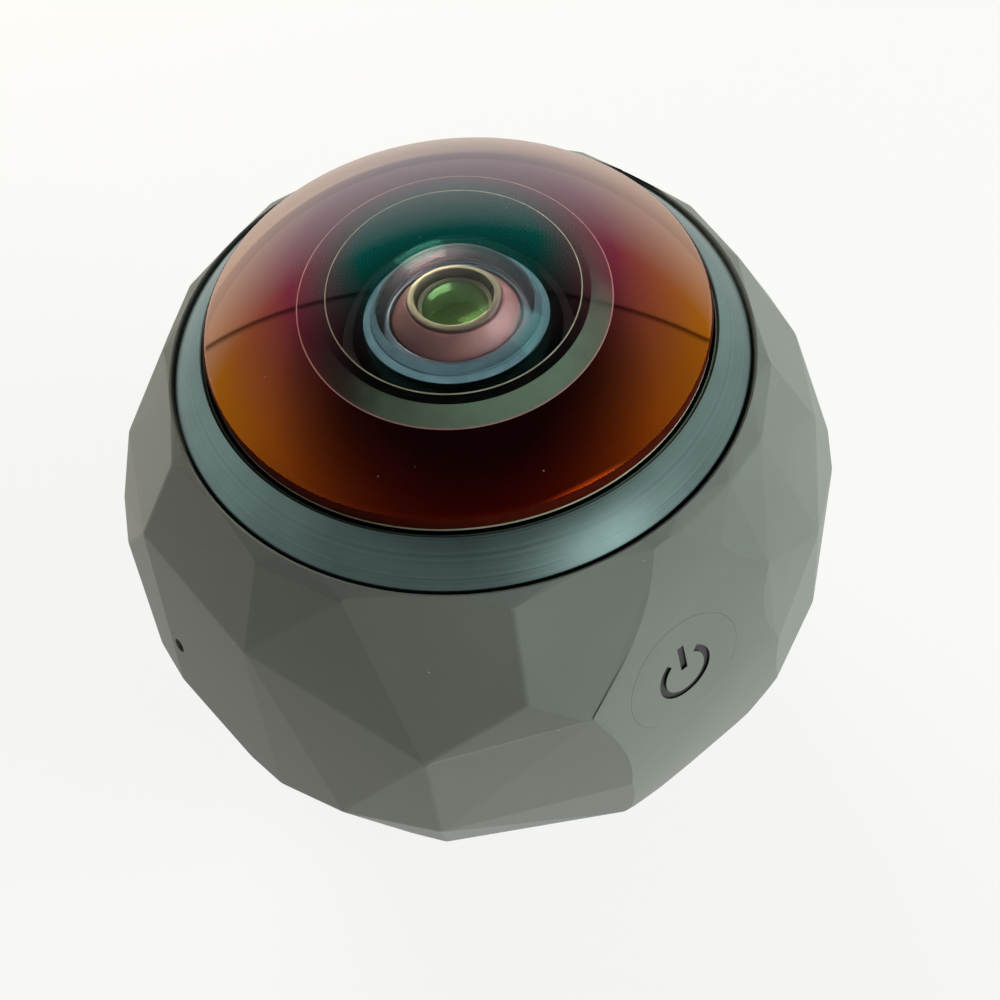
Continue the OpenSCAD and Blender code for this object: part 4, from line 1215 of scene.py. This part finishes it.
@dataclass
class Studio:
    """White floor and room, soft lamps and the camera at the photograph's viewing angle."""

    azimuth: float = -30.5
    elevation: float = 57.08
    roll: float = -7.26
    distance: float = 91.8
    lens: float = 36.22
    sensor: float = 36.0
    shift: tuple[float, float] = (0.0215, -0.0112)
    nearest: float = 5.0
    farthest: float = 20000.0
    floor_drop: float = 0.03
    floor_reach: float = 4000.0
    paper: str = "#e2decc"
    # Share of plain white in the floor as it is seen: the rest is lit paper, which keeps the shadow
    floor_glow: float = 0.84
    # How much brighter than the wall a window looks, in metal and glass alone
    window: float = 6.0
    # Azimuth of the window from the camera, and its elevation
    window_place: tuple[float, float] = (40.0, 27.0)
    # Cosines of the angles from the window's middle at which it begins and is full
    window_edge: tuple[float, float] = (0.94, 0.998)
    # Azimuth, from the camera, that the backdrop faces
    backdrop_turn: float = -8.5
    ambient: float = 0.2

    def camera(self, centre: Vector) -> None:
        """Set the camera.

        Args:
            centre: Middle of the ball, in metres.
        """
        out = compass(self.azimuth, self.elevation)
        right = AXIS.cross(out).normalized()
        up = out.cross(right)
        turn = math.radians(self.roll)
        rolled_right = right * math.cos(turn) + up * math.sin(turn)
        rolled_up = up * math.cos(turn) - right * math.sin(turn)
        data = bpy.data.cameras.new("camera")
        data.lens = self.lens
        data.sensor_width = self.sensor
        data.shift_x, data.shift_y = self.shift
        data.clip_start = self.nearest * MM
        data.clip_end = self.farthest * MM
        view = bpy.data.objects.new("camera", data)
        bpy.context.scene.collection.objects.link(view)
        turned = Matrix((rolled_right, rolled_up, out)).transposed().to_4x4()
        view.matrix_world = Matrix.Translation(centre + out * (self.distance * MM)) @ turned
        bpy.context.scene.camera = view

    def floor(self) -> None:
        """Lay a white floor that keeps a faint shadow."""
        mesh = bmesh.new()
        bmesh.ops.create_grid(mesh, x_segments=1, y_segments=1, size=self.floor_reach * MM)
        bmesh.ops.translate(mesh, vec=(0, 0, -self.floor_drop * MM), verts=mesh.verts)
        data = bpy.data.meshes.new("floor")
        mesh.to_mesh(data)
        mesh.free()
        paper = bpy.data.materials.new("white_paper")
        paper.use_nodes = True
        tree = paper.node_tree
        tree.nodes.clear()
        paper_face = add(tree, "ShaderNodeBsdfDiffuse", {"Color": linear(self.paper)})
        glow = add(tree, "ShaderNodeEmission", {"Color": linear(WHITE), "Strength": 1.0})
        camera, sent = ray_kinds(tree)
        shown = add(tree, "ShaderNodeMath", {0: camera, 1: sent}, operation="MAXIMUM")
        share = add(tree, "ShaderNodeMath", {0: shown.outputs[0], 1: self.floor_glow}, operation="MULTIPLY")
        mixed = add(tree, "ShaderNodeMixShader", {0: share.outputs[0], 1: paper_face.outputs[0],
                                                  2: glow.outputs[0]})
        add(tree, "ShaderNodeOutputMaterial", {"Surface": mixed.outputs[0]})
        data.materials.append(paper)
        floor = bpy.data.objects.new("floor", data)
        bpy.context.scene.collection.objects.link(floor)

    def world(self) -> None:
        """Light the object evenly and show white, with a room for metal and glass to mirror."""
        world = bpy.data.worlds.new("studio")
        bpy.context.scene.world = world
        world.use_nodes = True
        tree = world.node_tree
        tree.nodes.clear()
        way = add(tree, "ShaderNodeTexCoord").outputs["Generated"]
        height = add(tree, "ShaderNodeSeparateXYZ", {0: way}).outputs["Z"]
        sky = add(tree, "ShaderNodeValToRGB", {"Fac": height},
                  stops=[(at, linear(code)) for at, code in CEILING_SHADES])
        backdrop = compass(self.azimuth + self.backdrop_turn, 0.0)
        front = add(tree, "ShaderNodeVectorMath", {0: way, 1: backdrop}, operation="DOT_PRODUCT")
        round_room = add(tree, "ShaderNodeMapRange", {"Value": front.outputs["Value"], "From Min": -1.0})
        walls = add(tree, "ShaderNodeValToRGB", {"Fac": round_room.outputs[0]},
                    stops=[(at, linear(code)) for at, code in WALL_SHADES])
        shades = add(tree, "ShaderNodeVectorMath", {0: sky.outputs[0], 1: walls.outputs[0]},
                     operation="MULTIPLY")
        window = compass(self.azimuth + self.window_place[0], self.window_place[1])
        near = add(tree, "ShaderNodeVectorMath", {0: way, 1: window}, operation="DOT_PRODUCT")
        spot = add(tree, "ShaderNodeMapRange", {
            "Value": near.outputs["Value"], "From Min": self.window_edge[0], "From Max": self.window_edge[1],
            "To Min": 1.0, "To Max": self.window}, interpolation_type="SMOOTHSTEP").outputs[0]
        room = add(tree, "ShaderNodeBackground", {"Color": shades.outputs[0], "Strength": spot})
        plain = add(tree, "ShaderNodeBackground", {"Color": linear(WHITE), "Strength": self.ambient})
        paper = add(tree, "ShaderNodeBackground", {"Color": linear(WHITE), "Strength": 1.0})
        camera, sent = ray_kinds(tree)
        around = add(tree, "ShaderNodeMixShader", {0: sent, 1: plain.outputs[0], 2: room.outputs[0]})
        seen = add(tree, "ShaderNodeMixShader", {0: camera, 1: around.outputs[0], 2: paper.outputs[0]})
        add(tree, "ShaderNodeOutputWorld", {"Surface": seen.outputs[0]})

    def build(self, centre: Vector) -> None:
        """Build the stage, its light and the camera.

        Args:
            centre: Middle of the ball, in metres.
        """
        self.camera(centre)
        self.floor()
        self.world()
        for lamp in LAMPS:
            lamp.hang(self.azimuth, centre)
        bpy.context.scene.view_settings.view_transform = "Standard"


def dress_solids() -> None:
    """Give every solid that keeps its own mesh its finish."""
    for node, finish in SOLID_FINISHES.items():
        solid = frame["nodes"][node]
        solid.data.materials.clear()
        solid.data.materials.append(finish.material())
        LOG.info("%s: %s", node, finish.name)


def main() -> None:
    """Build the stage and every sub-assembly, in order."""
    logging.basicConfig(level=logging.INFO, format="%(message)s")
    Studio().build(ball_centre())
    assemblies: list[Callable[[], None]] = [
        dress_solids, FacetedShell().build, Bezel().build, Dome().build, LensStack().build,
        PressButton().build, TripodSocket().build]
    for build in assemblies:
        build()


if __name__ == "__main__":
    main()
